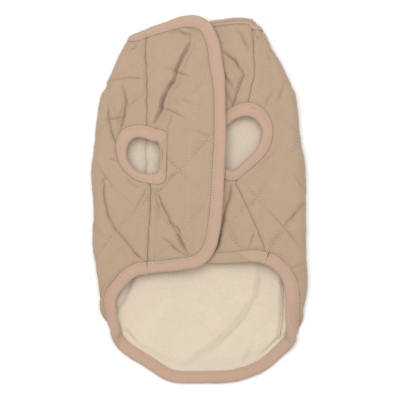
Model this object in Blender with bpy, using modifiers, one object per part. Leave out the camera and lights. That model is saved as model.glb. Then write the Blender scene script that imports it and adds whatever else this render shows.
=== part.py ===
"""Dog winter coat, laid out flat on its back with the belly side up.

Blender 4.5 script, metres, +Z up. X runs across the coat and Y along it, neck at +Y. The origin is the
middle of the underside. The coat is a flattened tube of cloth: the back panel lies on the surface, rolls
up round both sides and meets the two front panels at the seams. The left front's flap lies over the
right front. Every cut edge is held in a channel of folded tape.
"""
import math

import bmesh
import bpy
import numpy as np

MM = 0.001

# Driving dimensions, millimetres.
SHELL = 1.8            # quilted outer cloth of the back panel
LINING = 0.9           # fleece lining
GAP = 0.3              # between pieces that touch
FRONT = SHELL + GAP + LINING   # the front panels, quilted through with their own lining
TAPE = 1.0             # one leg of the binding tape
TUBE_HEIGHT = 20.0     # outer height of the flattened tube at its sides
UNDER_HEIGHT = 15.6    # outer height of the right front where the flap covers it
FLAP_HEIGHT = 22.6     # outer height of the flap
FASTENER = 1.5         # thickness of each half of the hook and loop fastener
FASTENER_WIDTH = 16.0
ROOM = 0.5             # between the cloth and the tape folded over it
TURN_ROOM = 0.8        # the same round the neck and hem of the back, which turn more tightly

# The rolled sides: distance along the coat, left and right side, reach of the side bend, tube height.
SIDES_COLUMNS = ("y", "left", "right", "bend", "height")
SIDES = (
    (-171.0, -74.0, 86.0, 5.0, 4.0),
    (-150.5, -92.5, 102.0, 6.0, 6.5),
    (-129.0, -101.5, 110.5, 7.5, 10.5),
    (-107.5, -107.0, 114.5, 9.0, 15.5),
    (-84.0, -109.5, 115.5, 10.0, 18.5),
    (-43.5, -113.0, 115.0, 11.0, 20.0),
    (-0.5, -114.0, 114.0, 11.0, 20.0),
    (38.0, -115.5, 112.5, 11.0, 20.0),
    (63.5, -112.0, 109.5, 11.0, 20.0),
    (108.5, -106.5, 103.0, 10.0, 20.0),
    (128.0, -98.5, 95.5, 9.5, 20.0),
    (147.0, -89.5, 87.0, 8.5, 20.0),
    (173.0, -74.0, 73.5, 6.5, 19.0),
    (188.0, -64.0, 66.5, 5.0, 18.0),
)

# Seams between the back panel and the fronts, from the neck to the belly hem, split by the leg holes.
LEFT_SEAM_UPPER = ((-56.5, 173.0), (-56.5, 149.5), (-55.5, 128.0), (-55.5, 106.5), (-55.5, 77.5))
LEFT_SEAM_LOWER = ((-51.5, 17.7), (-51.5, -0.5), (-53.0, -22.0), (-54.0, -43.5), (-54.5, -67.5))
RIGHT_SEAM_UPPER = ((57.8, 172.0), (58.8, 151.0), (58.8, 133.0), (55.5, 119.5), (52.5, 102.3))
RIGHT_SEAM_LOWER = ((39.0, 21.5), (49.0, -3.5), (61.0, -30.5), (67.5, -46.5), (70.5, -57.0))

# Leg holes: the tape's sewn edge and its folded edge, anticlockwise from the top of the seam.
HOLE_COLUMNS = ("sewn x", "sewn y", "folded x", "folded y")
LEFT_HOLE = (
    (-55.5, 77.5, -57.5, 64.5),
    (-68.0, 78.0, -66.0, 65.5),
    (-79.5, 74.0, -72.5, 62.0),
    (-86.5, 64.0, -76.0, 55.5),
    (-87.0, 51.0, -76.5, 47.0),
    (-82.5, 36.5, -73.0, 37.5),
    (-71.0, 24.5, -66.0, 30.5),
    (-60.5, 19.5, -58.5, 28.0),
    (-51.5, 17.7, -51.5, 27.3),
    (-43.0, 17.0, -46.5, 27.6),
    (-36.5, 21.0, -43.0, 31.0),
    (-35.5, 33.0, -42.3, 38.0),
    (-35.2, 47.0, -42.0, 48.0),
    (-34.8, 60.0, -42.0, 56.0),
    (-36.0, 71.0, -44.5, 61.0),
    (-45.0, 74.0, -50.0, 61.5),
)
RIGHT_HOLE = (
    (52.5, 102.3, 51.5, 88.5),
    (43.5, 101.0, 44.5, 87.5),
    (33.0, 96.0, 37.0, 84.0),
    (22.5, 88.0, 30.5, 78.0),
    (14.5, 76.0, 25.5, 69.5),
    (10.8, 60.0, 22.8, 57.5),
    (11.2, 43.0, 23.0, 45.0),
    (16.5, 29.0, 26.0, 36.0),
    (27.0, 22.6, 31.5, 32.0),
    (39.0, 21.5, 37.5, 32.0),
    (50.5, 30.5, 45.5, 38.5),
    (63.0, 41.0, 54.5, 46.5),
    (73.0, 53.5, 61.5, 55.0),
    (77.5, 68.0, 66.0, 64.5),
    (76.5, 81.5, 66.5, 75.0),
    (69.5, 94.0, 61.0, 83.5),
    (61.5, 100.0, 56.5, 87.0),
)

# Bound edges of the fronts: middle of the tape and its width, walked with the free side on the left.
EDGE_COLUMNS = ("x", "y", "width")
LEFT_FRONT_EDGE = (
    (-56.2, 177.0, 8.0),
    (-47.0, 180.5, 9.0),
    (-34.0, 184.5, 9.5),
    (-21.5, 188.5, 11.0),
    (-11.0, 190.0, 12.0),
    (-3.0, 189.5, 12.5),
    (4.5, 186.0, 12.5),
    (10.0, 179.5, 12.5),
    (14.0, 170.5, 12.5),
    (16.8, 160.0, 13.0),
    (19.0, 143.0, 13.5),
    (21.5, 128.0, 12.5),
    (22.6, 110.0, 11.5),
    (22.9, 92.0, 11.5),
    (22.9, 61.5, 12.0),
    (21.5, 37.0, 12.5),
    (20.3, 13.5, 12.5),
    (19.3, -6.0, 12.5),
    (17.4, -24.0, 13.0),
    (15.0, -39.0, 13.0),
    (11.5, -51.5, 12.5),
    (4.5, -61.5, 12.5),
    (-5.5, -67.0, 12.5),
    (-20.5, -69.5, 12.0),
    (-36.5, -71.5, 12.0),
    (-54.2, -73.0, 12.0),
)
RIGHT_FRONT_EDGE = (
    (71.3, -63.2, 12.5),
    (62.5, -61.0, 12.5),
    (52.5, -60.8, 12.0),
    (39.5, -62.0, 11.0),
    (24.5, -63.0, 10.5),
    (6.5, -62.5, 10.5),
    (-4.0, -60.5, 10.5),
    (-11.0, -55.5, 10.5),
    (-14.5, -45.0, 10.5),
    (-15.0, -0.5, 10.5),
    (-15.0, 53.0, 10.5),
    (-15.0, 106.5, 10.5),
    (-15.0, 149.5, 10.5),
    (-14.0, 167.0, 10.5),
    (-9.5, 178.0, 9.0),
    (0.5, 184.5, 7.0),
    (14.0, 187.5, 6.0),
    (35.5, 190.5, 6.0),
    (48.0, 190.5, 6.0),
    (56.6, 189.0, 6.0),
)

# Hem of the back panel: middle of the tape, and its roll about its own length. At 0 the free edge points
# into the opening, at 90 straight up, at 180 out along the surface.
HEM_WIDTH = 12.5
HEM_COLUMNS = ("x", "y", "z", "roll")
HEM = (
    (-55.1, -73.1, 19.1, 0.0),
    (-66.5, -75.2, 18.8, 2.0),
    (-77.0, -81.5, 18.4, 6.0),
    (-86.0, -91.5, 17.4, 14.0),
    (-95.0, -100.5, 15.4, 32.0),
    (-101.6, -109.5, 11.6, 72.0),
    (-102.4, -119.0, 8.6, 112.0),
    (-98.5, -131.0, 5.4, 146.0),
    (-91.5, -143.0, 3.6, 168.0),
    (-84.0, -153.5, 2.1, 178.0),
    (-73.0, -162.5, 1.9, 180.0),
    (-60.0, -170.5, 1.9, 180.0),
    (-46.0, -179.5, 1.9, 180.0),
    (-34.0, -187.0, 1.9, 180.0),
    (-21.5, -190.0, 1.9, 180.0),
    (4.5, -190.2, 1.9, 180.0),
    (31.0, -189.5, 1.9, 180.0),
    (47.0, -186.0, 1.9, 180.0),
    (62.0, -180.5, 1.9, 180.0),
    (74.5, -172.5, 1.9, 180.0),
    (84.5, -163.5, 2.6, 175.0),
    (92.5, -154.5, 4.3, 158.0),
    (98.5, -145.5, 6.6, 125.0),
    (101.5, -136.0, 10.0, 84.0),
    (100.0, -126.5, 13.4, 46.0),
    (98.5, -116.0, 16.0, 22.0),
    (98.7, -104.0, 17.6, 8.0),
    (97.0, -89.5, 18.4, 3.0),
    (90.0, -76.5, 18.9, 0.0),
    (80.0, -67.0, 19.1, 0.0),
    (72.4, -63.6, 19.2, 0.0),
)
HEM_LEFT_TURN = 6       # the row of HEM where the left side stands up
HEM_LEFT_FLAT = 9       # the first row that lies on the surface
HEM_RIGHT_FLAT = 20
HEM_RIGHT_TURN = 23

# Neck of the back panel, from the right seam under the coat to the left seam: place round the tube
# (1 and 5 the seams, 2 and 4 the side bends, 3 the spine), distance along, width of the tape.
NECK_COLUMNS = ("place", "y", "width")
NECK = ((1.0, 188.8, 6.0), (1.5, 186.0, 6.5), (2.0, 181.0, 7.5), (2.5, 174.0, 9.0), (3.0, 170.0, 9.0),
        (3.5, 170.0, 9.0), (4.0, 171.5, 8.0), (4.5, 173.2, 8.0), (5.0, 176.7, 8.0))
NECK_SEAM_RIGHT = 58.6
NECK_SEAM_LEFT = -57.5

# Largest folds of the top layer: a trough from one point to the next, its depth and half width.
FOLD_COLUMNS = ("x from", "y from", "x to", "y to", "depth", "half width")
FOLDS = (
    (-17.5, 148.0, -22.5, 135.5, 1.8, 5.0),
    (-22.5, 135.5, -38.5, 106.5, 2.4, 6.0),
    (-38.5, 106.5, -42.0, 90.0, 2.0, 6.0),
    (-42.0, 2.0, -31.0, -14.0, 1.5, 6.0),
    (-31.0, -14.0, -18.0, -48.0, 1.5, 6.0),
    (31.0, 150.0, 46.0, 134.0, 1.4, 6.0),
    (46.0, 134.0, 40.0, 115.0, 1.5, 6.0),
)

# Colours and finish of each piece: red, green, blue (linear), roughness.
SHELL_CLOTH = ("quilted_shell", (0.54, 0.40, 0.27), 0.85)
FLEECE = ("fleece_lining", (0.75, 0.63, 0.48), 0.95)
BINDING_TAPE = ("binding_tape", (0.58, 0.40, 0.30), 0.75)
FASTENER_TAPE = ("fastener_tape", (0.50, 0.37, 0.26), 0.90)


def clear_scene():
    """Remove every object, so that the coat is the only thing in the file."""
    for thing in list(bpy.data.objects):
        bpy.data.objects.remove(thing, do_unlink=True)


def smooth(low, high, value):
    """A soft step from 0 at low to 1 at high."""
    t = min(max((value - low) / (high - low), 0.0), 1.0)
    return t * t * (3.0 - 2.0 * t)


def spline(rows, places, closed=False):
    """Points of a Catmull-Rom curve through the rows, at places counted in rows from the first."""
    rows = np.asarray(rows, dtype=float)
    count = len(rows)
    found = []
    for place in places:
        start = int(math.floor(place)) if closed else min(max(int(place), 0), count - 2)
        t = place - start
        corners = []
        for step in (-1, 0, 1, 2):
            at = start + step
            if closed:
                corners.append(rows[at % count])
            elif at < 0:
                corners.append(2.0 * rows[0] - rows[1])
            elif at >= count:
                corners.append(2.0 * rows[-1] - rows[-2])
            else:
                corners.append(rows[at])
        before, here, after, beyond = corners
        found.append(0.5 * (2.0 * here + (after - before) * t
                            + (2.0 * before - 5.0 * here + 4.0 * after - beyond) * t * t
                            + (3.0 * here - before - 3.0 * after + beyond) * t ** 3))
    return np.array(found)


def even(points, count):
    """The same line again, as count points spaced evenly along it."""
    points = np.asarray(points, dtype=float)
    lengths = np.linalg.norm(np.diff(points[:, :2], axis=0), axis=1)
    along = np.concatenate(([0.0], np.cumsum(lengths)))
    wanted = np.linspace(0.0, along[-1], count)
    return np.stack([np.interp(wanted, along, points[:, k]) for k in range(points.shape[1])], axis=1)


def fine(rows, closed=False):
    """A smooth dense line through the rows of a table."""
    spans = len(rows) if closed else len(rows) - 1
    return spline(rows, np.linspace(0.0, spans, spans * 12 + 1), closed)


# ---- the tube -------------------------------------------------------------------------------------

SIDE_LINES = fine(SIDES)


def side_at(y, right):
    """Half width, reach of the bend and height of the tube at y, on one side."""
    column = 2 if right else 1
    half = abs(np.interp(y, SIDE_LINES[:, 0], SIDE_LINES[:, column]))
    bend = np.interp(y, SIDE_LINES[:, 0], SIDE_LINES[:, 3])
    height = np.interp(y, SIDE_LINES[:, 0], SIDE_LINES[:, 4])
    return half, bend, height


def bend_length(bend, height):
    """Length of cloth round one side."""
    return math.pi * math.sqrt((bend * bend + height * height / 4.0) / 2.0)


def tube_point(around, y):
    """Outer surface of the tube: around is the distance across from the spine, y the way along."""
    half, bend, height = side_at(y, around > 0.0)
    flat = half - bend
    arc = bend_length(bend, height)
    distance = abs(around)
    if distance <= flat:
        x, z = distance, 0.0
    elif distance < flat + arc:
        angle = math.pi * (distance - flat) / arc - math.pi / 2.0
        x = flat + bend * math.cos(angle)
        z = height / 2.0 * (1.0 + math.sin(angle))
    else:
        x = math.copysign(flat - (distance - flat - arc), around)
        return np.array((x, y, top_height(x, y, around > 0.0)))
    return np.array((math.copysign(x, around), y, z))


def around_top(x, y, right):
    """How far round the tube a point of the top layer is, by its side and its x."""
    half, bend, height = side_at(y, right)
    flat = half - bend
    inward = flat - (x if right else -x)
    if inward >= 0.0:
        distance = flat + bend_length(bend, height) + inward
    else:
        angle = math.acos(min(-inward / bend, 1.0))
        distance = flat + bend_length(bend, height) * (0.5 + angle / math.pi)
    return distance if right else -distance


def top_height(x, y, right):
    """Outer height of the top layer of cloth: level at the seams, high on the flap, low under it."""
    level = side_at(y, right)[2]
    if right:
        return UNDER_HEIGHT + (level - UNDER_HEIGHT) * smooth(27.0, 49.0, x)
    return level + (FLAP_HEIGHT - level) * smooth(-46.0, -18.0, x)


def fold_depth(x, y):
    """How deep the largest folds press into the top layer here."""
    depth = 0.0
    for x_from, y_from, x_to, y_to, deep, half_width in FOLDS:
        along = np.array((x_to - x_from, y_to - y_from))
        offset = np.array((x - x_from, y - y_from))
        t = min(max(float(offset @ along) / float(along @ along), 0.0), 1.0)
        away = float(np.linalg.norm(offset - t * along))
        depth = max(depth, deep * math.exp(-(away / half_width) ** 2))
    return depth


# ---- bound edges ----------------------------------------------------------------------------------

def frames(sewn, folded, closed=False):
    """Stations of a bound edge: sewn edge, way to the free edge, outward normal and width."""
    sewn = np.asarray(sewn, dtype=float)
    folded = np.asarray(folded, dtype=float)
    middle = (sewn + folded) / 2.0
    if closed:
        ahead = np.roll(middle, -1, axis=0) - np.roll(middle, 1, axis=0)
    else:
        ahead = np.gradient(middle, axis=0)
    width = np.linalg.norm(folded - sewn, axis=1)
    free = (folded - sewn) / width[:, None]
    normal = np.cross(ahead, free)
    normal /= np.linalg.norm(normal, axis=1)[:, None]
    return {"sewn": sewn, "free": free, "normal": normal, "width": width}


def on_top(line, right):
    """Points of a line in plan, raised to the outer surface of the top layer."""
    return np.array([(x, y, top_height(x, y, right)) for x, y in line])


def front_edge(rows, corners, counts, right):
    """Stations of a front's bound edge: corners are places in its table, counts the steps between them."""
    stretches = []
    stops = (0.0, *corners, len(rows) - 1.0)
    for start, stop, count in zip(stops, stops[1:], counts):
        dense = spline(rows, np.linspace(start, stop, 120))
        stretches.append(even(dense, count + 1)[1 if stretches else 0:])
    line = np.concatenate(stretches)
    ahead = np.gradient(line[:, :2], axis=0)
    ahead /= np.linalg.norm(ahead, axis=1)[:, None]
    out = np.stack((-ahead[:, 1], ahead[:, 0]), axis=1)
    half = line[:, 2:3] / 2.0
    return frames(on_top(line[:, :2] - out * half, right), on_top(line[:, :2] + out * half, right))


def hole_edge(rows, seam_row, counts, right):
    """Stations round a leg hole; seam_row is where the lower seam meets it, counts the steps each way."""
    first, second = counts
    places = np.concatenate((np.linspace(0.0, seam_row, first + 1)[:-1],
                             np.linspace(seam_row, len(rows), second + 1)[:-1]))
    line = spline(rows, places, closed=True)
    return frames(on_top(line[:, :2], right), on_top(line[:, 2:], right), closed=True)


def hem_edge(places):
    """Stations of the back hem at places counted in rows of HEM."""
    line = spline(HEM, places)
    ahead = np.gradient(line[:, :2], axis=0)
    ahead /= np.linalg.norm(ahead, axis=1)[:, None]
    roll = np.radians(line[:, 3])
    free = np.column_stack((-ahead[:, 1] * np.cos(roll), ahead[:, 0] * np.cos(roll), np.sin(roll)))
    half = HEM_WIDTH / 2.0
    return frames(line[:, :3] - free * half, line[:, :3] + free * half)


def surface_normal(around, y):
    """Outward normal of the tube."""
    step = 0.5
    across = tube_point(around + step, y) - tube_point(around - step, y)
    down = tube_point(around, y - step) - tube_point(around, y + step)
    normal = np.cross(across, down)
    return normal / np.linalg.norm(normal)


def neck_edge():
    """Stations of the back's neck edge, wrapped round the tube from the right seam to the left."""
    rows = fine(NECK)
    places = np.interp(np.arange(BACK_COLUMNS + 1), COLUMN_STOPS, (5.0, 4.5, 4.0, 2.0, 1.5, 1.0))
    middle = []
    normals = []
    widths = []
    for column, place in reversed(list(enumerate(places))):
        y = float(np.interp(place, rows[:, 0], rows[:, 1]))
        ways = back_stops(y, around_top(NECK_SEAM_LEFT, y, False), around_top(NECK_SEAM_RIGHT, y, True))
        point = tube_point(ways[column], y)
        normals.append(surface_normal(ways[column], y))
        point[2] += (TAPE + TURN_ROOM + 0.1) * (1.0 - smooth(0.0, 6.0, point[2]))
        middle.append(point)
        widths.append(float(np.interp(place, rows[:, 0], rows[:, 2])))
    middle = np.array(middle)
    free = np.cross(np.array(normals), np.gradient(middle, axis=0))
    free /= np.linalg.norm(free, axis=1)[:, None]
    half = np.array(widths)[:, None] / 2.0
    return frames(middle - free * half, middle + free * half)


# ---- panels ---------------------------------------------------------------------------------------

LEFT_STEPS = (5, 7, 6)       # rows of cloth above, beside and below the left leg hole
RIGHT_STEPS = (4, 7, 7)
ROWS = sum(LEFT_STEPS)
FRONT_COLUMNS = 7
WRAP_COLUMNS = 5             # columns of the back panel on the top layer, round a bend, on the surface
BEND_COLUMNS = 6
FLOOR_COLUMNS = 7
COLUMN_COUNTS = (WRAP_COLUMNS, BEND_COLUMNS, FLOOR_COLUMNS, BEND_COLUMNS, WRAP_COLUMNS)
COLUMN_STOPS = np.concatenate(([0], np.cumsum(COLUMN_COUNTS)))
BACK_COLUMNS = sum(COLUMN_COUNTS)
HEM_STRAIGHT = 5.0           # the cloth runs straight for this far before it enters the hem's tape
NECK_STRAIGHT = 6.0          # the same at the neck
STRAIGHT_DROP = 1.0          # the most of its height that an edge loses over that length
LINING_BACK = 0.8            # the lining stops this much shorter at the seams
SEAM_GAP = 0.25             # each panel stands this far back from the seam line
TAPE_CLEAR = 2.4             # from the cut edge of the cloth to the fold of the tape
LEFT_SEAM_ROW = 8            # rows of the leg hole tables where the lower seams start
RIGHT_SEAM_ROW = 9
LEFT_HOLE_STEPS = (7, 7)
RIGHT_HOLE_STEPS = (7, 7)
LEFT_CORNERS = (6.2, 20.7)   # places of the flap's neck and belly corners in its edge table
RIGHT_CORNERS = (6.6, 13.6)


def seam_side(upper, hole, lower, steps, start, end, right, shift):
    """A panel's side in plan: upper seam, its share of the leg hole's edge, lower seam."""
    upper_line = even([start, *fine(upper)[:, :2][1:-1], hole[0]], steps[0] + 1)
    lower_line = even([hole[-1], *fine(lower)[:, :2][1:-1], end], steps[2] + 1)
    side = np.concatenate((upper_line[:-1], hole, lower_line[1:]))
    side[1:-1, 0] += shift
    return side


def grid_sides(side_left, side_right, top, bottom):
    """Points between four sides: straight across each row, bowed to the top and bottom near them."""
    rows, columns = len(side_left) - 1, len(top) - 1
    points = np.zeros((rows + 1, columns + 1, top.shape[1]))
    for row in range(rows + 1):
        v = row / rows
        for column in range(columns + 1):
            u = column / columns
            across = (1 - u) * side_left[row] + u * side_right[row]
            bow_top = top[column] - (1 - u) * top[0] - u * top[-1]
            bow_bottom = bottom[column] - (1 - u) * bottom[0] - u * bottom[-1]
            points[row, column] = across + (1 - v) ** 3 * bow_top + v ** 3 * bow_bottom
    return points


def front_points(plan, right):
    """Outer surface of a front panel over its plan, with the largest folds pressed in."""
    surface = np.zeros((*plan.shape[:2], 3))
    rows, columns = plan.shape[0] - 1, plan.shape[1] - 1
    for row in range(rows + 1):
        for column in range(columns + 1):
            x, y = plan[row, column]
            inside = 0 < row < rows and 0 < column < columns
            depth = fold_depth(x, y) if inside else 0.0
            surface[row, column] = (x, y, top_height(x, y, right) - depth)
    return surface


def towards(start, end):
    """Unit steps from each point of one line towards the other's."""
    step = end - start
    return step / np.linalg.norm(step, axis=1)[:, None]


def into_tape(edge, station):
    """A station of a bound edge, and the way from its sewn edge to the cut edge of the cloth inside."""
    return station, edge["free"][station] * (edge["width"][station] - TAPE_CLEAR)


def split_across(face, marks):
    """Split a face of a bound edge from its sewn side to its free side at the next station, so that the
    tape and the cloth inside it bend along the same lines."""
    corners = sorted(face.verts, key=lambda vertex: marks[vertex])
    inner = min(corners[:2], key=lambda vertex: marks[vertex][1])
    outer = max(corners[2:], key=lambda vertex: marks[vertex][1])
    if marks[outer][1] > marks[inner][1]:
        bmesh.utils.face_split(face, inner, outer)


def cloth_grid(points, bound, flip):
    """A grid of cloth through points, its bound edges carried on into their tape."""
    rows, columns = points.shape[0] - 1, points.shape[1] - 1
    cloth = bmesh.new()
    bmesh.ops.create_grid(cloth, x_segments=columns, y_segments=rows, size=0.5)
    places = {}
    for vertex in cloth.verts:
        row = round((vertex.co.y + 0.5) * rows)
        column = round((vertex.co.x + 0.5) * columns)
        vertex.co = points[row, column] * MM
        places[vertex] = (row, column)
    edges = [edge for edge in cloth.edges
             if edge.is_boundary and all(places[vertex] in bound for vertex in edge.verts)]
    carried = bmesh.ops.extrude_edge_only(cloth, edges=edges)["geom"]
    marks = {vertex: (bound[place][0], 0.0) for vertex, place in places.items() if place in bound}
    for vertex in carried:
        if isinstance(vertex, bmesh.types.BMVert):
            root = next(edge.other_vert(vertex) for edge in vertex.link_edges
                        if edge.other_vert(vertex) in places)
            station, way = bound[places[root]]
            vertex.co = vertex.co + type(vertex.co)(way * MM)
            marks[vertex] = (station, 1.0)
    for face in carried:
        if isinstance(face, bmesh.types.BMFace):
            split_across(face, marks)
    bmesh.ops.triangulate(cloth, faces=cloth.faces[:], quad_method="SHORT_EDGE")
    if flip:
        bmesh.ops.reverse_faces(cloth, faces=cloth.faces[:])
    cloth.normal_update()
    return cloth


def finish(cloth, name, look, collection):
    """Make an object of a mesh in the making, with its material."""
    mesh = bpy.data.meshes.new(name)
    cloth.to_mesh(mesh)
    cloth.free()
    thing = bpy.data.objects.new(name, mesh)
    collection.objects.link(thing)
    label, colour, roughness = look
    material = bpy.data.materials.get(label) or bpy.data.materials.new(label)
    material.use_nodes = True
    shader = material.node_tree.nodes["Principled BSDF"]
    shader.inputs["Base Color"].default_value = (*colour, 1.0)
    shader.inputs["Roughness"].default_value = roughness
    shader.inputs["Metallic"].default_value = 0.0
    mesh.materials.append(material)
    return thing


def give_wall(thing, thickness):
    """Give an open sheet its thickness, inwards from its outer face."""
    wall = thing.modifiers.new("Wall", "SOLIDIFY")
    wall.thickness = thickness * MM
    wall.offset = -1.0


def binding(name, edge, closed, room, collection):
    """A channel of folded tape along a bound edge: an open C in section, swept through the stations."""
    over = TAPE + room
    under = -FRONT - over
    slot_over = room
    slot_under = -FRONT - room
    count = len(edge["sewn"])
    sections = []
    for sewn, free, normal, width in zip(edge["sewn"], edge["free"], edge["normal"], edge["width"]):
        outline = ((0.0, over), (width - 1.5, over), (width, over - 1.5), (width, under + 1.5),
                   (width - 1.5, under), (0.0, under), (0.0, slot_under), (width - TAPE - ROOM, slot_under),
                   (width - TAPE - ROOM, slot_over), (0.0, slot_over))
        sections.append([sewn + free * out + normal * up for out, up in outline])
    corners = len(sections[0])
    tape = bmesh.new()
    steps = count if closed else count - 1
    bmesh.ops.create_grid(tape, x_segments=corners, y_segments=steps, size=0.5)
    marks = {}
    for vertex in tape.verts:
        corner = round((vertex.co.x + 0.5) * corners) % corners
        station = round((vertex.co.y + 0.5) * steps)
        vertex.co = sections[station % count][corner] * MM
        marks[vertex] = (station, outline[corner][0])
    for face in tape.faces[:]:
        split_across(face, marks)
    bmesh.ops.remove_doubles(tape, verts=tape.verts[:], dist=1e-6)
    if not closed:
        bmesh.ops.holes_fill(tape, edges=[edge for edge in tape.edges if edge.is_boundary])
    bmesh.ops.recalc_face_normals(tape, faces=tape.faces[:])
    if tape.calc_volume(signed=True) < 0.0:
        bmesh.ops.reverse_faces(tape, faces=tape.faces[:])
    return finish(tape, name, BINDING_TAPE, collection)


def hem_places():
    """Places of the hem table at each column of the back panel."""
    stops = (0.0, HEM_LEFT_TURN - 2.0, HEM_LEFT_FLAT, HEM_RIGHT_FLAT, HEM_RIGHT_TURN + 2.5, len(HEM) - 1.0)
    return np.interp(np.arange(BACK_COLUMNS + 1), COLUMN_STOPS, stops)


def back_stops(y, left_seam, right_seam):
    """Way round the tube of each column of the back panel at y, between its two sides."""
    left_half, left_bend, left_height = side_at(y, False)
    right_half, right_bend, right_height = side_at(y, True)
    left_flat = left_half - left_bend
    right_flat = right_half - right_bend
    stops = (left_seam, -left_flat - bend_length(left_bend, left_height), -left_flat,
             right_flat, right_flat + bend_length(right_bend, right_height), right_seam)
    return np.interp(np.arange(BACK_COLUMNS + 1), COLUMN_STOPS, stops)


def hem_ways(sewn):
    """Way round the tube of each hem station, by where its layer is."""
    first_flat = WRAP_COLUMNS + BEND_COLUMNS
    last_flat = first_flat + FLOOR_COLUMNS
    known = {}
    for column, (x, y, _) in enumerate(sewn):
        if column <= WRAP_COLUMNS:
            known[column] = around_top(x, y, False)
        elif column >= BACK_COLUMNS - WRAP_COLUMNS:
            known[column] = around_top(x, y, True)
        elif first_flat <= column <= last_flat:
            known[column] = x
    return np.interp(np.arange(BACK_COLUMNS + 1), list(known), list(known.values()))


def straight_back(sewn, free, reach):
    """The point straight behind a bound edge, where that doesn't bring it close to the surface."""
    if free[2] > 0.0:
        reach = min(reach, STRAIGHT_DROP * sewn[2] / free[2])
    return sewn - free * reach


def back_points(left_side, right_side, neck, hem):
    """Outer surface of the back panel, from the sewn edge of the neck to that of the hem."""
    neck_sewn = neck["sewn"][::-1]
    hem_sewn = hem["sewn"]
    hem_way = hem_ways(hem_sewn)
    columns = np.arange(BACK_COLUMNS + 1)
    near_left = (1.0 - columns / BACK_COLUMNS) ** 2
    near_right = (columns / BACK_COLUMNS) ** 2

    def way(column, y, row):
        left = around_top(left_side[row, 0], left_side[row, 1], False)
        right = around_top(right_side[row, 0], right_side[row, 1], True)
        return back_stops(y, left, right)[column]

    surface = np.zeros((ROWS + 1, BACK_COLUMNS + 1, 3))
    for row in range(ROWS + 1):
        v = row / ROWS
        to_hem = smooth(0.55, 1.0, v)
        at_hem = smooth(0.75, 1.0, v)
        at_neck = 1.0 - smooth(0.0, 0.2, v)
        for column in columns:
            ruled = (1 - v) * neck_sewn[column, 1] + v * hem_sewn[column, 1]
            left_gap = left_side[row, 1] - ((1 - v) * neck_sewn[0, 1] + v * hem_sewn[0, 1])
            right_gap = right_side[row, 1] - ((1 - v) * neck_sewn[-1, 1] + v * hem_sewn[-1, 1])
            y = ruled + near_left[column] * left_gap + near_right[column] * right_gap
            around = way(column, y, row)
            around += to_hem * (hem_way[column] - way(column, hem_sewn[column, 1], ROWS))
            point = tube_point(around, y)
            point += at_hem * (hem_sewn[column] - tube_point(hem_way[column], hem_sewn[column, 1]))
            neck_point = tube_point(way(column, neck_sewn[column, 1], 0), neck_sewn[column, 1])
            point += at_neck * (neck_sewn[column] - neck_point)
            surface[row, column] = point
    for column in columns:
        share = smooth(WRAP_COLUMNS - 1.0, WRAP_COLUMNS + 2.0, min(column, BACK_COLUMNS - column))
        before_hem = straight_back(hem_sewn[column], hem["free"][column], HEM_STRAIGHT)
        before_neck = straight_back(neck_sewn[column], neck["free"][BACK_COLUMNS - column], NECK_STRAIGHT)
        surface[ROWS - 1, column] += share * (before_hem - surface[ROWS - 1, column])
        surface[1, column] += share * (before_neck - surface[1, column])
    return surface


def strip(name, low, high, collection):
    """A flat length of fastener tape between two corners."""
    tape = bmesh.new()
    bmesh.ops.create_cube(tape, size=1.0)
    for vertex in tape.verts:
        vertex.co = [(a + b) / 2 * MM + c * (b - a) * MM for a, b, c in zip(low, high, vertex.co)]
    return finish(tape, name, FASTENER_TAPE, collection)


def build_fronts(collection, left_hole, right_hole):
    """The two front panels and the tape round their free edges."""
    steps = (FRONT_COLUMNS, ROWS, FRONT_COLUMNS)
    last = FRONT_COLUMNS + ROWS
    edges = {False: front_edge(LEFT_FRONT_EDGE, LEFT_CORNERS, steps, False),
             True: front_edge(RIGHT_FRONT_EDGE, RIGHT_CORNERS, steps, True)}

    left = edges[False]["sewn"][:, :2]
    count = LEFT_HOLE_STEPS[0]
    share = np.concatenate((left_hole["sewn"][:1], left_hole["sewn"][:count - 1:-1]))[:, :2]
    side = seam_side(LEFT_SEAM_UPPER, share, LEFT_SEAM_LOWER, LEFT_STEPS, left[0], left[-1], False, SEAM_GAP)
    plan = grid_sides(side, left[FRONT_COLUMNS:last + 1], left[:FRONT_COLUMNS + 1], left[last:][::-1])
    bound = {}
    for station in range(len(left)):
        if station <= FRONT_COLUMNS:
            place = (0, station)
        elif station <= last:
            place = (station - FRONT_COLUMNS, FRONT_COLUMNS)
        else:
            place = (ROWS, FRONT_COLUMNS - (station - last))
        bound[place] = into_tape(edges[False], station)
    for step in range(count + 1):
        bound[(LEFT_STEPS[0] + step, 0)] = into_tape(left_hole, -step)
    sheet = cloth_grid(front_points(plan, False), bound, True)
    panel = finish(sheet, "left_front_panel", SHELL_CLOTH, collection)
    give_wall(panel, FRONT)
    binding("left_front_binding", edges[False], False, ROOM, collection)

    right = edges[True]["sewn"][:, :2]
    share = right_hole["sewn"][:RIGHT_HOLE_STEPS[0] + 1, :2]
    side = seam_side(RIGHT_SEAM_UPPER, share, RIGHT_SEAM_LOWER, RIGHT_STEPS, right[-1], right[0], True,
                     -SEAM_GAP)
    plan = grid_sides(right[FRONT_COLUMNS:last + 1][::-1], side, right[last:], right[:FRONT_COLUMNS + 1][::-1])
    bound = {}
    for station in range(len(right)):
        if station <= FRONT_COLUMNS:
            place = (ROWS, FRONT_COLUMNS - station)
        elif station <= last:
            place = (last - station, 0)
        else:
            place = (0, station - last)
        bound[place] = into_tape(edges[True], station)
    for step in range(RIGHT_HOLE_STEPS[0] + 1):
        bound[(RIGHT_STEPS[0] + step, FRONT_COLUMNS)] = into_tape(right_hole, step)
    sheet = cloth_grid(front_points(plan, True), bound, True)
    panel = finish(sheet, "right_front_panel", SHELL_CLOTH, collection)
    give_wall(panel, FRONT)
    binding("right_front_binding", edges[True], False, ROOM, collection)


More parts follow.
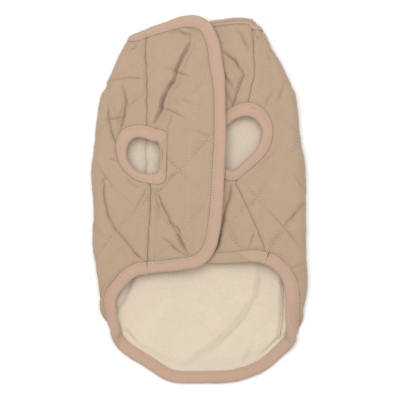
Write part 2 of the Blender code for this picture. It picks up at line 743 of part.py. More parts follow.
def build_back(collection, left_hole, right_hole):
    """The back panel, its lining, and the tape round its neck and hem."""
    neck = neck_edge()
    hem = hem_edge(hem_places())
    left_share = left_hole["sewn"][:LEFT_HOLE_STEPS[0] + 1, :2]
    left_side = seam_side(LEFT_SEAM_UPPER, left_share, LEFT_SEAM_LOWER, LEFT_STEPS,
                          neck["sewn"][-1, :2], hem["sewn"][0, :2], False, -SEAM_GAP)
    count = RIGHT_HOLE_STEPS[0]
    right_share = np.concatenate((right_hole["sewn"][:1], right_hole["sewn"][:count - 1:-1]))[:, :2]
    right_side = seam_side(RIGHT_SEAM_UPPER, right_share, RIGHT_SEAM_LOWER, RIGHT_STEPS,
                           neck["sewn"][0, :2], hem["sewn"][-1, :2], True, SEAM_GAP)
    surface = back_points(left_side, right_side, neck, hem)
    bound = {}
    for column in range(BACK_COLUMNS + 1):
        bound[(0, column)] = into_tape(neck, BACK_COLUMNS - column)
        bound[(ROWS, column)] = into_tape(hem, column)
    for step in range(LEFT_HOLE_STEPS[0] + 1):
        bound[(LEFT_STEPS[0] + step, 0)] = into_tape(left_hole, step)
    for step in range(count + 1):
        bound[(RIGHT_STEPS[0] + step, BACK_COLUMNS)] = into_tape(right_hole, -step)

    panel = finish(cloth_grid(surface, bound, False), "back_panel", SHELL_CLOTH, collection)
    give_wall(panel, SHELL)

    sheet = cloth_grid(surface, bound, False)
    inward = [(vertex, vertex.normal.copy()) for vertex in sheet.verts]
    for vertex, normal in inward:
        vertex.co = vertex.co - normal * (SHELL + GAP) * MM
    seams = {0: towards(surface[:, 0], surface[:, 1]), BACK_COLUMNS: towards(surface[:, -1], surface[:, -2])}
    for number, vertex in enumerate(list(sheet.verts)[:(ROWS + 1) * (BACK_COLUMNS + 1)]):
        row, column = divmod(number, BACK_COLUMNS + 1)
        if column in seams and (row, column) not in bound:
            vertex.co += type(vertex.co)(seams[column][row] * LINING_BACK * MM)
    lining = finish(sheet, "back_lining", FLEECE, collection)
    give_wall(lining, LINING)

    binding("back_neck_binding", neck, False, TURN_ROOM, collection)
    binding("back_hem_binding", hem, False, TURN_ROOM, collection)


def main():
    """Build the coat."""
    clear_scene()
    collection = bpy.data.collections.new("dog_winter_coat")
    bpy.context.scene.collection.children.link(collection)
    left_hole = hole_edge(LEFT_HOLE, LEFT_SEAM_ROW, LEFT_HOLE_STEPS, False)
    right_hole = hole_edge(RIGHT_HOLE, RIGHT_SEAM_ROW, RIGHT_HOLE_STEPS, True)
    build_back(collection, left_hole, right_hole)
    build_fronts(collection, left_hole, right_hole)
    binding("left_armhole_binding", left_hole, True, ROOM, collection)
    binding("right_armhole_binding", right_hole, True, ROOM, collection)
    hook_top = FLAP_HEIGHT - FRONT - GAP
    loop_bottom = UNDER_HEIGHT + GAP
    strip("closure_hook_strip", (-8.5, -44.0, hook_top - FASTENER), (7.0, 155.0, hook_top), collection)
    strip("closure_loop_strip", (-8.5, -44.0, loop_bottom), (7.0, 155.0, loop_bottom + FASTENER), collection)


main()
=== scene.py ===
"""Quilted dog winter coat, laid out flat on its back with the belly side up.

The coat is a flattened tube of cloth. The back panel lies on the surface, rolls up round both sides and
meets the two front panels at the seams. The flap of one front lies over the other. Sizes are in
millimetres until a point is placed in a mesh, which is in metres.
"""
import functools
import math
import typing

import bmesh
import bpy
import numpy as np
from mathutils import Matrix, Vector, kdtree


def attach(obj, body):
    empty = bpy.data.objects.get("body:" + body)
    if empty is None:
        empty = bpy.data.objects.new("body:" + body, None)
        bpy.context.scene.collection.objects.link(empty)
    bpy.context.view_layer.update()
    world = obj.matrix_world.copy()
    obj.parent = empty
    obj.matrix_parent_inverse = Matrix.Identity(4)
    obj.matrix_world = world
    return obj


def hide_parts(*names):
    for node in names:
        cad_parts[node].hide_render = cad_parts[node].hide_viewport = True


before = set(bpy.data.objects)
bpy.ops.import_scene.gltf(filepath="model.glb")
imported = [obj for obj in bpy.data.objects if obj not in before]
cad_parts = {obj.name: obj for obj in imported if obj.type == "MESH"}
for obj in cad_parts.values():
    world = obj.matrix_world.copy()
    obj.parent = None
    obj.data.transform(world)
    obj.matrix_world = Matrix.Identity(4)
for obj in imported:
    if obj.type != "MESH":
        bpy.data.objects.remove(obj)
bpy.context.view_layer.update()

bl_info = {
    "name": "Quilted dog coat",
    "version": (1, 0, 0),
    "blender": (4, 5, 0),
    "location": "3D View > Sidebar > Coat",
    "description": "Builds a quilted dog coat round its solid parts, with its cloth, binding and stitching",
    "category": "Add Mesh",
}

MM = 0.001

# ---- sizes of the coat ----------------------------------------------------------------------------

SHELL = 1.8            # quilted outer cloth
LINING = 0.9           # fleece
GAP = 0.3              # between the two
FRONT = SHELL + GAP + LINING
UNDER_HEIGHT = 15.6    # outer height of the right front where the flap covers it
UNDER_RISE = (27.0, 49.0)       # across, where it climbs to the height of the sides
FLAP_HEIGHT = 22.6
FLAP_RISE = (-46.0, -18.0)      # across, where the flap climbs to its height

# The rolled sides. Columns: along, left side, right side, reach of the side bend, height.
SIDES = (
    (-171.0, -74.0, 86.0, 5.0, 4.0),
    (-150.5, -92.5, 102.0, 6.0, 6.5),
    (-129.0, -96.6, 109.6, 7.5, 10.5),
    (-107.5, -103.4, 114.0, 9.0, 15.5),
    (-84.0, -108.7, 115.2, 10.0, 18.5),
    (-43.5, -112.5, 114.6, 11.0, 20.0),
    (-0.5, -113.5, 113.6, 11.0, 20.0),
    (38.0, -115.2, 112.3, 11.0, 20.0),
    (63.5, -111.5, 109.2, 11.0, 20.0),
    (108.5, -104.0, 103.8, 10.0, 20.0),
    (118.0, -99.6, 100.0, 9.8, 20.0),
    (128.0, -96.5, 95.5, 9.5, 20.0),
    (147.0, -88.2, 86.2, 8.5, 20.0),
    (173.0, -73.6, 72.0, 6.5, 19.0),
    (188.0, -64.0, 61.6, 4.2, 18.0),
)

# Seams between the back panel and the fronts, neck to hem, passing over the leg holes. Columns: x, y.
LEFT_SEAM = ((-56.5, 173.0), (-56.5, 149.5), (-55.5, 128.0), (-55.5, 106.5), (-55.5, 77.5), (-53.5, 47.0),
             (-51.5, 17.7), (-51.5, -0.5), (-53.0, -22.0), (-54.0, -43.5), (-54.5, -67.5))
RIGHT_SEAM = ((57.8, 172.0), (58.8, 151.0), (58.8, 133.0), (55.5, 119.5), (52.5, 102.3), (44.0, 62.0),
              (39.0, 21.5), (49.0, -3.5), (61.0, -30.5), (67.5, -46.5), (70.5, -57.0))

# Leg holes, anticlockwise from the top of the seam. Columns: sewn x, sewn y, folded x, folded y.
LEFT_HOLE = (
    (-55.5, 77.5, -57.5, 64.5),
    (-68.0, 78.0, -66.0, 65.5),
    (-79.5, 74.0, -72.5, 62.0),
    (-86.5, 64.0, -76.0, 55.5),
    (-87.0, 51.0, -76.5, 47.0),
    (-82.5, 36.5, -73.0, 37.5),
    (-71.0, 24.5, -66.0, 30.5),
    (-60.5, 19.5, -58.5, 28.0),
    (-51.5, 17.7, -51.5, 27.3),
    (-43.0, 17.0, -46.5, 27.6),
    (-36.5, 21.0, -43.0, 31.0),
    (-35.5, 33.0, -42.3, 38.0),
    (-35.2, 47.0, -42.0, 48.0),
    (-34.8, 60.0, -42.0, 56.0),
    (-36.0, 71.0, -44.5, 61.0),
    (-45.0, 74.0, -50.0, 61.5),
)
RIGHT_HOLE = (
    (52.5, 102.3, 51.5, 88.5),
    (43.5, 101.0, 44.5, 87.5),
    (33.0, 96.0, 37.0, 84.0),
    (22.5, 88.0, 30.5, 78.0),
    (14.5, 76.0, 25.5, 69.5),
    (10.8, 60.0, 22.8, 57.5),
    (11.2, 43.0, 23.0, 45.0),
    (16.5, 29.0, 26.0, 36.0),
    (27.0, 22.6, 31.5, 32.0),
    (39.0, 21.5, 37.5, 32.0),
    (50.5, 30.5, 45.5, 38.5),
    (63.0, 41.0, 54.5, 46.5),
    (73.0, 53.5, 61.5, 55.0),
    (77.5, 68.0, 66.0, 64.5),
    (76.5, 81.5, 66.5, 75.0),
    (69.5, 94.0, 61.0, 83.5),
    (61.5, 100.0, 56.5, 87.0),
)

# Bound edges of the fronts, walked with the free side on the left. Columns: middle x, y, width of the tape.
LEFT_FRONT_EDGE = (
    (-56.2, 177.0, 8.0),
    (-47.0, 180.5, 9.0),
    (-34.0, 184.5, 9.5),
    (-21.5, 188.5, 11.0),
    (-11.0, 190.0, 12.0),
    (-3.0, 189.5, 12.5),
    (4.5, 186.0, 12.5),
    (10.0, 179.5, 12.5),
    (14.0, 170.5, 12.5),
    (16.8, 160.0, 13.0),
    (19.0, 143.0, 13.5),
    (21.5, 128.0, 12.5),
    (22.6, 110.0, 11.5),
    (22.9, 92.0, 11.5),
    (22.9, 61.5, 12.0),
    (21.5, 37.0, 12.5),
    (20.3, 13.5, 12.5),
    (19.3, -6.0, 12.5),
    (17.4, -24.0, 13.0),
    (15.0, -39.0, 13.0),
    (11.5, -51.5, 12.5),
    (4.5, -61.5, 12.5),
    (-5.5, -67.0, 12.5),
    (-20.5, -69.5, 12.0),
    (-36.5, -71.5, 12.0),
    (-54.2, -73.0, 12.0),
)
RIGHT_FRONT_EDGE = (
    (71.3, -63.2, 12.5),
    (62.5, -61.0, 12.5),
    (52.5, -60.8, 12.0),
    (39.5, -62.0, 11.0),
    (24.5, -63.0, 10.5),
    (6.5, -62.5, 10.5),
    (-4.0, -60.5, 10.5),
    (-11.0, -55.5, 10.5),
    (-14.5, -45.0, 10.5),
    (-15.0, -0.5, 10.5),
    (-15.0, 53.0, 10.5),
    (-15.0, 106.5, 10.5),
    (-15.0, 149.5, 10.5),
    (-14.0, 167.0, 10.5),
    (-9.5, 178.0, 9.0),
    (0.5, 184.5, 7.0),
    (14.0, 187.5, 6.0),
    (35.5, 190.5, 6.0),
    (48.0, 190.5, 6.0),
    (56.6, 189.0, 6.0),
)
# Places in each table where the neck, the long side and the hem meet.
LEFT_CORNERS = (6.2, 20.7)
RIGHT_CORNERS = (6.6, 13.6)

# Hem of the back panel. Columns: middle x, y, z, and the roll of the tape about its own length.
HEM_WIDTH = 12.5
HEM_WIDER = 1.7                    # more on the right side
HEM_WIDER_FROM = (90.0, 98.0)      # across, where the tape widens
HEM = (
    (-55.1, -73.1, 19.1, 0.0),
    (-66.5, -75.2, 18.8, 2.0),
    (-77.0, -81.5, 18.4, 6.0),
    (-86.0, -91.5, 17.2, 9.0),
    (-91.8, -99.5, 15.6, 14.0),
    (-94.5, -108.5, 13.4, 20.0),
    (-94.2, -119.0, 11.2, 31.0),
    (-92.6, -129.5, 8.9, 50.0),
    (-91.8, -138.0, 7.3, 86.0),
    (-88.9, -146.0, 5.0, 130.0),
    (-83.4, -153.5, 2.4, 174.0),
    (-73.0, -162.5, 1.9, 180.0),
    (-60.0, -170.5, 1.9, 180.0),
    (-46.0, -179.5, 1.9, 180.0),
    (-34.0, -187.0, 1.9, 180.0),
    (-21.5, -190.0, 1.9, 180.0),
    (4.5, -190.2, 1.9, 180.0),
    (31.0, -189.5, 1.9, 180.0),
    (47.0, -186.0, 1.9, 180.0),
    (62.0, -180.5, 1.9, 180.0),
    (74.5, -172.5, 1.9, 180.0),
    (84.4, -163.8, 2.3, 177.0),
    (92.9, -156.2, 4.0, 159.0),
    (98.9, -149.9, 6.3, 121.0),
    (101.1, -143.4, 8.2, 80.0),
    (100.8, -136.4, 9.9, 51.0),
    (99.7, -128.5, 11.8, 25.0),
    (99.2, -117.0, 14.2, 13.0),
    (99.2, -104.0, 16.9, 6.0),
    (97.0, -89.5, 18.4, 3.0),
    (90.0, -76.5, 18.9, 0.0),
    (80.0, -67.0, 19.1, 0.0),
    (72.4, -63.6, 19.2, 0.0),
)
# Places in HEM where the top layer ends, the side turns up and the surface begins, from left to right.
HEM_STOPS = (0.0, 4.0, 10.0, 21.0, 27.5, 32.0)

# Neck of the back panel, from the right seam (1) under the coat to the left seam (5).
# Columns: place round the tube, y, width of the tape.
NECK = ((1.0, 188.2, 6.0), (1.5, 184.6, 6.5), (2.0, 180.0, 7.5), (2.5, 174.0, 9.0), (3.0, 170.0, 9.0),
        (3.5, 170.0, 9.0), (4.0, 171.5, 8.0), (4.5, 173.2, 8.0), (5.0, 176.7, 8.0))
NECK_STOPS = (5.0, 4.5, 4.0, 2.0, 1.5, 1.0)
NECK_SEAM_RIGHT = 57.6
NECK_SEAM_LEFT = -57.5

# ---- looks of the cloth ---------------------------------------------------------------------------

# Diamonds of the quilting: half a diamond along, then rows that give, for a place across, how many half
# diamonds it is from the middle and where a row of crossings lies along.
DIAMONDS = {
    "flap": (33.6, ((-85.4, -2.0, 30.5), (42.6, 2.0, 30.5))),
    "under": (33.5, ((-34.0, -2.0, -32.0), (86.0, 2.0, -32.0))),
    "back": (33.6, ((-235.3, -8.0, -11.2), (-139.3, -5.0, -11.2), (147.5, 5.0, 1.7), (233.0, 8.0, 1.7))),
}
DIAMOND_REACH = 23.2       # from a quilting line to the middle of a diamond

# Creases pressed into the top layer, with painted shade in them. Columns: points of the line, depth, half
# width.
CREASES = {
    "flap": (
        (((-10.5, 163.5), (-17.2, 152.5), (-23.5, 137.1), (-26.4, 126.4), (-34.2, 115.7), (-37.9, 105.0),
          (-39.6, 95.8), (-46.3, 82.0)), 4.6, 1.8),
        (((-33.2, 139.6), (-23.5, 135.4), (-9.6, 130.5)), 1.4, 2.0),
        (((-40.7, 98.4), (-24.9, 91.9), (-13.9, 86.7)), 1.4, 2.0),
        (((-17.1, 105.0), (-5.0, 101.1)), 0.9, 2.0),
        (((-18.8, 184.0), (-9.6, 182.0), (-0.4, 179.5)), 1.8, 2.0),
        (((-31.0, 177.0), (-20.3, 178.5), (-9.6, 175.0)), 1.6, 4.5),
        (((-9.6, 180.3), (-8.6, 170.7), (-11.1, 161.5)), 1.2, 2.2),
        (((-44.0, 8.7), (-41.7, -0.5), (-34.2, -15.8), (-29.5, -26.5), (-21.8, -37.2),
          (-11.1, -58.6)), 1.8, 2.4),
        (((-28.9, -25.1), (-20.3, -34.1), (-21.1, -41.8), (-12.8, -56.2)), 1.8, 1.9),
        (((-39.6, -40.1), (-24.9, -52.5), (-10.1, -61.0)), 1.6, 2.4),
        (((-48.7, 10.2), (-43.9, -5.9), (-41.7, -21.9)), 0.9, 3.0),
        (((-6.5, 74.4), (2.1, 71.2), (11.8, 66.9)), 0.8, 2.0),
        (((-36.4, 19.8), (-28.9, 25.1), (-20.3, 29.4)), 1.0, 2.5),
        (((-29.5, 89.7), (-34.2, 72.9)), 0.9, 2.5),
        (((-50.3, -60.5), (-41.7, -62.6), (-35.3, -61.5)), 0.9, 1.8),
    ),
    "under": (
        (((25.6, 156.9), (37.8, 147.8), (45.4, 135.5)), 2.8, 2.4),
        (((45.8, 137.0), (47.0, 131.1), (42.4, 120.4), (38.5, 108.0), (33.2, 91.5)), 3.6, 1.9),
        (((24.6, 138.6), (28.6, 129.4), (34.2, 121.4)), 2.0, 2.4),
        (((28.9, 115.0), (34.2, 105.4), (36.4, 95.8)), 1.2, 3.0),
        (((39.6, 181.4), (47.1, 170.7), (51.4, 157.8)), 1.0, 5.0),
        (((33.2, 14.4), (31.0, -0.5), (25.6, -21.9), (21.0, -43.3), (16.4, -57.1)), 3.0, 2.4),
        (((22.5, -24.1), (28.9, -23.0), (34.2, -24.1)), 1.2, 1.8),
        (((51.9, -56.2), (55.6, -46.5), (59.4, -33.7)), 1.3, 2.0),
        (((52.4, -55.6), (61.0, -54.0), (67.4, -49.8)), 0.9, 1.8),
    ),
    "back": (
        (((-79.9, 117.2), (-77.0, 105.0), (-79.9, 89.7), (-83.8, 71.3)), 2.0, 2.8),
        (((-96.7, 102.2), (-96.0, 85.1), (-93.7, 72.9), (-88.4, 60.6), (-85.6, 44.4)), 2.4, 2.4),
        (((-102.7, 84.0), (-89.1, 85.8), (-80.2, 87.7)), 1.6, 2.0),
        (((-92.0, 42.3), (-83.5, 39.1)), 2.0, 2.0),
        (((-110.2, 40.1), (-99.8, 24.1), (-88.8, 9.6)), 1.1, 2.0),
        (((-93.1, 31.6), (-99.8, 23.0), (-108.1, 12.3)), 0.9, 2.2),
        (((-100.6, 19.4), (-101.3, 2.7), (-96.7, -17.3), (-89.1, -31.1), (-79.9, -41.8), (-69.2, -55.5),
          (-59.4, -65.3)), 2.0, 2.2),
        (((-67.7, -11.2), (-60.0, 2.7), (-54.0, 13.9)), 1.0, 2.0),
        (((-78.1, 23.0), (-70.6, 16.6), (-65.3, 13.4)), 1.2, 2.5),
        (((-92.0, 125.7), (-84.5, 127.9), (-69.5, 128.9), (-57.8, 127.9)), 0.9, 2.4),
        (((88.8, -31.0), (100.6, -16.6), (113.4, -1.6)), 1.8, 2.2),
        (((86.7, -35.7), (74.5, -49.4)), 0.8, 2.0),
        (((92.8, -32.6), (104.9, -47.9)), 0.7, 2.0),
        (((97.4, -73.3), (104.9, -70.1), (112.4, -65.8)), 1.2, 2.2),
        (((78.1, 117.2), (73.8, 108.6), (69.5, 99.0)), 0.9, 4.0),
        (((92.0, 127.9), (86.7, 115.0), (83.5, 103.3)), 0.7, 4.0),
        (((63.1, 36.9), (70.6, 42.3), (78.1, 46.5)), 0.6, 2.5),
        (((101.7, 53.0), (108.1, 56.2)), 0.7, 2.0),
        (((99.5, 29.4), (107.0, 17.7), (112.4, 10.2)), 0.6, 2.0),
    ),
}

# Soft folds of the fleece where it shows, with painted shade in their troughs; the last is a painted
# shadow line beside the free edge of the hem tape on the right. Columns: points of the line, depth (a ridge
# where it is negative), half width.
FLEECE_FOLDS = (
    (((59.9, -68.3), (58.9, -86.1), (54.6, -102.2), (41.7, -121.4), (20.3, -145.0), (3.2, -160.0),
      (-13.9, -171.7)), -2.4, 6.0),
    (((65.0, -84.0), (61.0, -104.0), (49.0, -124.5), (27.0, -149.0), (9.0, -164.0)), 0.7, 4.0),
    (((55.6, -148.2), (48.2, -166.4), (43.9, -177.1)), -1.7, 3.2),
    (((18.2, -166.4), (10.7, -172.8), (4.3, -180.3)), -1.7, 2.6),
    (((-40.0, -70.0), (-20.0, -96.0), (-8.0, -124.0)), -1.2, 9.0),
    (((-56.4, 76.0), (-56.9, 46.0), (-56.4, 16.0)), 3.0, 2.6),
    (((-70.5, -83.0), (-74.5, -95.0), (-80.5, -107.5), (-88.5, -121.5)), 2.4, 2.4),
    (((90.6, -80.0), (90.1, -105.0), (89.1, -128.0), (86.4, -149.0)), 3.3, 2.3),
)

# Columns of the back panel's grid in each of its five layers: top layer, side bend, surface, side bend, top.
SHELL_COLUMNS = (70, 18, 40, 18, 70)
FLEECE_COLUMNS = (24, 16, 136, 16, 24)
LAYERS = np.arange(6.0)            # where each layer starts and ends, from the left seam to the right
ROWS = 220
FRONT_ROWS = 290
FRONT_COLUMNS = 108
SEAM_GAP = -0.02                   # how far each panel stops short of its seam: they just pass it
TAPE_REACH = 3.0                   # how far the cloth goes on into its tape
HOLE_REACH = 4.0                   # how far inside the tape a leg hole is cut
TOP_LAYER = 9.0                    # cloth higher than this is in the top layer
# How far each tape goes on past its first and last station, to meet the next one at the seam.
END_REACH = {"left_front": (0.6, 0.45), "right_front": (0.55, 0.95), "back_neck": (0.6, 0.95),
             "back_hem": (0.45, 0.55)}
# Lines sewn through the flap to hold its strip of fastener.
CLOSURE_LINES = (
    ((-9.6, 175.3), (-6.5, 163.1), (-8.9, 141.8), (-5.8, 117.2), (-4.3, 100.4), (-7.4, 72.0), (-11.1, 45.5),
     (-11.1, 0.0), (-11.1, -48.7)),
    ((13.3, 48.4), (12.5, 13.4), (7.9, -12.7), (7.2, -43.3), (2.6, -57.1)),
    ((-4.0, 165.0), (2.0, 165.4), (7.5, 165.0)),
)
# The dark stitches that hold the flap's cloth over the tape of its leg hole.
HOLE_STITCHES = ((-34.4, 51.0), (-34.0, 41.0), (-34.3, 29.5))
STATION = 0.62                     # between the stations of a bound edge
TAPE_STITCH_OUT = 1.5              # from the sewn line of a bound edge to its stitches
# Stitches of each kind of seam. Columns: pitch, length, width.
STITCHES = {"quilting": (4.2, 2.5, 0.75), "closure": (4.0, 2.3, 0.7), "hole": (2.9, 1.8, 0.8),
            "tape": (3.2, 2.1, 0.75)}
QUILTED_FROM = 2.0                 # how far from a bound edge the quilting is sewn
FEWEST_POINTS = 6                  # a quilting line with fewer isn't sewn
BATCH = 150                        # stitches made at a time, because a large mesh grows slowly
THREAD_REST = 0.34                 # least height of the underside's stitches, so they stay in the cloth
TAPE_REST = 0.03                   # least height of the tape
CHANNEL_CORNERS = 4                # corners of the inside of the tape, last in its outline
FLEECE_REST = 1.0                  # least height of the fleece's outer face, over the shell


# ---- lines ----------------------------------------------------------------------------------------

def smooth(low, high, value):
    """A soft step from 0 at low to 1 at high."""
    t = np.clip((np.asarray(value, dtype=float) - low) / (high - low), 0.0, 1.0)
    return t * t * (3.0 - 2.0 * t)


def spline(rows, places, closed=False):
    """Points of a Catmull-Rom curve through the rows, at places counted in rows from the first."""
    rows = np.asarray(rows, dtype=float)
    places = np.asarray(places, dtype=float)
    count = len(rows)
    if closed:
        start = np.floor(places).astype(int)
        before, here, after, beyond = (rows[(start + step) % count] for step in (-1, 0, 1, 2))
    else:
        start = np.clip(places.astype(int), 0, count - 2)
        longer = np.vstack((2.0 * rows[0] - rows[1], rows, 2.0 * rows[-1] - rows[-2]))
        before, here, after, beyond = (longer[start + step] for step in (0, 1, 2, 3))
    t = (places - start)[:, None]
    return 0.5 * (2.0 * here + (after - before) * t
                  + (2.0 * before - 5.0 * here + 4.0 * after - beyond) * t * t
                  + (3.0 * here - before - 3.0 * after + beyond) * t ** 3)


def along(points):
    """Distance along a line to each of its points."""
    return np.concatenate(([0.0], np.cumsum(np.linalg.norm(np.diff(points, axis=0), axis=1))))


def even(points, count):
    """The same line again, as count points spaced evenly along it in plan."""
    points = np.asarray(points, dtype=float)
    here = along(points[:, :2])
    wanted = np.linspace(0.0, here[-1], count)
    return np.stack([np.interp(wanted, here, points[:, k]) for k in range(points.shape[1])], axis=1)


def fine(rows):
    """A smooth dense line through the rows of a table."""
    return spline(rows, np.linspace(0.0, len(rows) - 1.0, (len(rows) - 1) * 12 + 1))


# ---- the tube -------------------------------------------------------------------------------------

SIDE_LINES = fine(SIDES)


def side_at(y, right):
    """Half width, reach of the bend and height of the tube at y, on one side."""
    at = [np.interp(y, SIDE_LINES[:, 0], SIDE_LINES[:, column]) for column in range(5)]
    return np.where(right, np.abs(at[2]), np.abs(at[1])), at[3], at[4]


def bend_length(bend, height):
    """Length of cloth round one side."""
    return math.pi * np.sqrt((bend * bend + height * height / 4.0) / 2.0)


def top_height(x, y, right):
    """Outer height of the top layer of cloth: level at the seams, high on the flap, low under it."""
    level = side_at(y, right)[2]
    under = UNDER_HEIGHT + (level - UNDER_HEIGHT) * smooth(*UNDER_RISE, x)
    flap = level + (FLAP_HEIGHT - level) * smooth(*FLAP_RISE, x)
    return np.where(right, under, flap)


def tube_points(around, y):
    """Outer surface of the tube: around is the distance across from the spine, y the way along."""
    around, y = np.broadcast_arrays(np.asarray(around, dtype=float), np.asarray(y, dtype=float))
    right = around > 0.0
    sign = np.where(right, 1.0, -1.0)
    half, bend, height = side_at(y, right)
    flat = half - bend
    arc = bend_length(bend, height)
    distance = np.abs(around)
    angle = math.pi * np.clip((distance - flat) / arc, 0.0, 1.0) - math.pi / 2.0
    x = np.where(distance <= flat, distance, flat + bend * np.cos(angle))
    x = sign * np.where(distance >= flat + arc, 2.0 * flat + arc - distance, x)
    z = np.where(distance >= flat + arc, top_height(x, y, right), height / 2.0 * (1.0 + np.sin(angle)))
    return np.stack((x, y, np.where(distance <= flat, 0.0, z)), axis=-1)


def around_top(x, y, right):
    """How far round the tube a point of the top layer is, by its side and its x."""
    half, bend, height = side_at(y, right)
    flat = half - bend
    inward = flat - (x if right else -x)
    bent = bend_length(bend, height) * (0.5 + np.arccos(np.clip(-inward / bend, 0.0, 1.0)) / math.pi)
    level = bend_length(bend, height) + inward
    distance = flat + np.where(inward >= 0.0, level, bent)
    return distance if right else -distance


def unit(vectors):
    """The same vectors, one long."""
    return vectors / np.maximum(np.linalg.norm(vectors, axis=-1, keepdims=True), 1e-9)


def normals_of(points):
    """Outward normals of a grid whose rows run from neck to hem and columns from left to right."""
    down = np.gradient(points, axis=0)
    across = np.gradient(points, axis=1)
    return unit(np.cross(across, down))


# ---- bound edges ----------------------------------------------------------------------------------

def frames(sewn, folded, closed=False):
    """Stations of a bound edge: sewn edge, way to the free edge, outward normal and width."""
    middle = (sewn + folded) / 2.0
    if closed:
        ahead = np.roll(middle, -1, axis=0) - np.roll(middle, 1, axis=0)
        here = np.append(along(middle), 0.0)[:len(middle)]
    else:
        ahead = np.gradient(middle, axis=0)
        here = along(middle)
    width = np.linalg.norm(folded - sewn, axis=1)
    free = (folded - sewn) / width[:, None]
    return {"sewn": sewn, "free": free, "normal": unit(np.cross(ahead, free)), "width": width,
            "ahead": unit(ahead), "here": here, "closed": closed}


def on_top(line, right):
    """Points of a line in plan, raised to the outer surface of the top layer."""
    return np.column_stack((line[:, 0], line[:, 1], top_height(line[:, 0], line[:, 1], right)))


def plan_edge(line, right):
    """Stations of a bound edge from its middle line in plan."""
    ahead = unit(np.gradient(line[:, :2], axis=0))
    out = np.stack((-ahead[:, 1], ahead[:, 0]), axis=1)
    half = line[:, 2:3] / 2.0
    return frames(on_top(line[:, :2] - out * half, right), on_top(line[:, :2] + out * half, right))


def front_sides(rows, corners, right):
    """Stations along the three free sides of a front, as many on each as the columns or rows there."""
    stretches = []
    stops = (0.0, *corners, len(rows) - 1.0)
    for start, stop, count in zip(stops, stops[1:], (FRONT_COLUMNS, FRONT_ROWS, FRONT_COLUMNS)):
        stretches.append(even(spline(rows, np.linspace(start, stop, 400)), count + 1))
    line = np.concatenate([stretch[(1 if number else 0):] for number, stretch in enumerate(stretches)])
    return plan_edge(line, right)


def spaced(line):
    """The same line with a point at every station."""
    return even(line, int(along(line[:, :2])[-1] / STATION))


@functools.lru_cache(maxsize=None)
def front_edge(right):
    """Closely spaced stations of a front's bound edge."""
    rows = RIGHT_FRONT_EDGE if right else LEFT_FRONT_EDGE
    return plan_edge(spaced(spline(rows, np.linspace(0.0, len(rows) - 1.0, 1500))), right)


@functools.lru_cache(maxsize=None)
def hole_edge(right):
    """Closely spaced stations round a leg hole."""
    rows = RIGHT_HOLE if right else LEFT_HOLE
    line = spaced(spline(rows, np.linspace(0.0, len(rows), 900), closed=True))[:-1]
    return frames(on_top(line[:, :2], right), on_top(line[:, 2:], right), closed=True)


def hem_stations(line):
    """Stations of the back hem along a line of its table's columns."""
    ahead = unit(np.gradient(line[:, :2], axis=0))
    roll = np.radians(line[:, 3])
    free = np.column_stack((-ahead[:, 1] * np.cos(roll), ahead[:, 0] * np.cos(roll), np.sin(roll)))
    half = (HEM_WIDTH + HEM_WIDER * smooth(*HEM_WIDER_FROM, line[:, :1])) / 2.0
    return frames(line[:, :3] - free * half, line[:, :3] + free * half)


def dense_hem():
    """Places in the hem's table, and the hem's line at them."""
    rows = np.linspace(0.0, len(HEM) - 1.0, 2000)
    return rows, spline(HEM, rows)


@functools.lru_cache(maxsize=None)
def hem_edge():
    """Closely spaced stations of the back hem."""
    return hem_stations(spaced(dense_hem()[1]))


def back_ways(y, left_seam, right_seam, layers):
    """Way round the tube of places of the back panel at y, counted in layers from its left side."""
    left_half, left_bend, left_height = side_at(y, False)
    right_half, right_bend, right_height = side_at(y, True)
    left_flat = left_half - left_bend
    right_flat = right_half - right_bend
    stops = (left_seam, -left_flat - bend_length(left_bend, left_height), -left_flat,
             right_flat, right_flat + bend_length(right_bend, right_height), right_seam)
    return np.interp(layers, LAYERS, [float(stop) for stop in stops])


def neck_stations(layers):
    """Stations of the back's neck edge, counted in layers from the left seam, wrapped round the tube."""
    rows = fine(NECK)
    places = np.interp(layers, LAYERS, NECK_STOPS)
    heights = np.interp(places, rows[:, 0], rows[:, 1])
    ways = np.array([back_ways(y, around_top(NECK_SEAM_LEFT, y, False), around_top(NECK_SEAM_RIGHT, y, True),
                               layer) for y, layer in zip(heights, layers)])
    middle = tube_points(ways, heights)
    step = 0.5
    normal = unit(np.cross(tube_points(ways + step, heights) - tube_points(ways - step, heights),
                           tube_points(ways, heights - step) - tube_points(ways, heights + step)))
    middle[:, 2] += 1.9 * (1.0 - smooth(0.0, 6.0, middle[:, 2]))
    free = unit(np.cross(np.gradient(middle, axis=0), normal))
    half = np.interp(places, rows[:, 0], rows[:, 2])[:, None] / 2.0
    found = frames(middle - free * half, middle + free * half)
    found["normal"] = -found["normal"]
    return found


@functools.lru_cache(maxsize=None)
def neck_edge():
    """Closely spaced stations of the back's neck edge."""
    layers = np.linspace(0.0, LAYERS[-1], 3000)
    middle = neck_stations(layers)
    here = middle["here"]
    wanted = np.linspace(0.0, here[-1], int(here[-1] / STATION))
    return neck_stations(np.interp(wanted, here, layers))


# ---- relief ---------------------------------------------------------------------------------------

def rough(across, down, seed):
    """Smooth unevenness between -1 and 1, with a step of about one unit."""
    across, down = np.broadcast_arrays(np.asarray(across, dtype=float), np.asarray(down, dtype=float))
    left, low = np.floor(across), np.floor(down)
    u, v = across - left, down - low
    u, v = u * u * (3.0 - 2.0 * u), v * v * (3.0 - 2.0 * v)

    def corner(i, j):
        mixed = np.sin((left + i) * 127.1 + (low + j) * 311.7 + seed * 74.7) * 43758.5453
        return 2.0 * (mixed - np.floor(mixed)) - 1.0

    return ((corner(0, 0) * (1 - u) + corner(1, 0) * u) * (1 - v)
            + (corner(0, 1) * (1 - u) + corner(1, 1) * u) * v)


def diamond_lines(kind, across, down):
    """The two families of quilting lines as fields: a line runs wherever a field is a whole number."""
    half, rows = DIAMONDS[kind]
    places, counts, starts = zip(*rows)
    a = np.interp(across, places, counts)
    b = (down - np.interp(across, places, starts)) / half
    return (a + b) / 2.0, (a - b) / 2.0


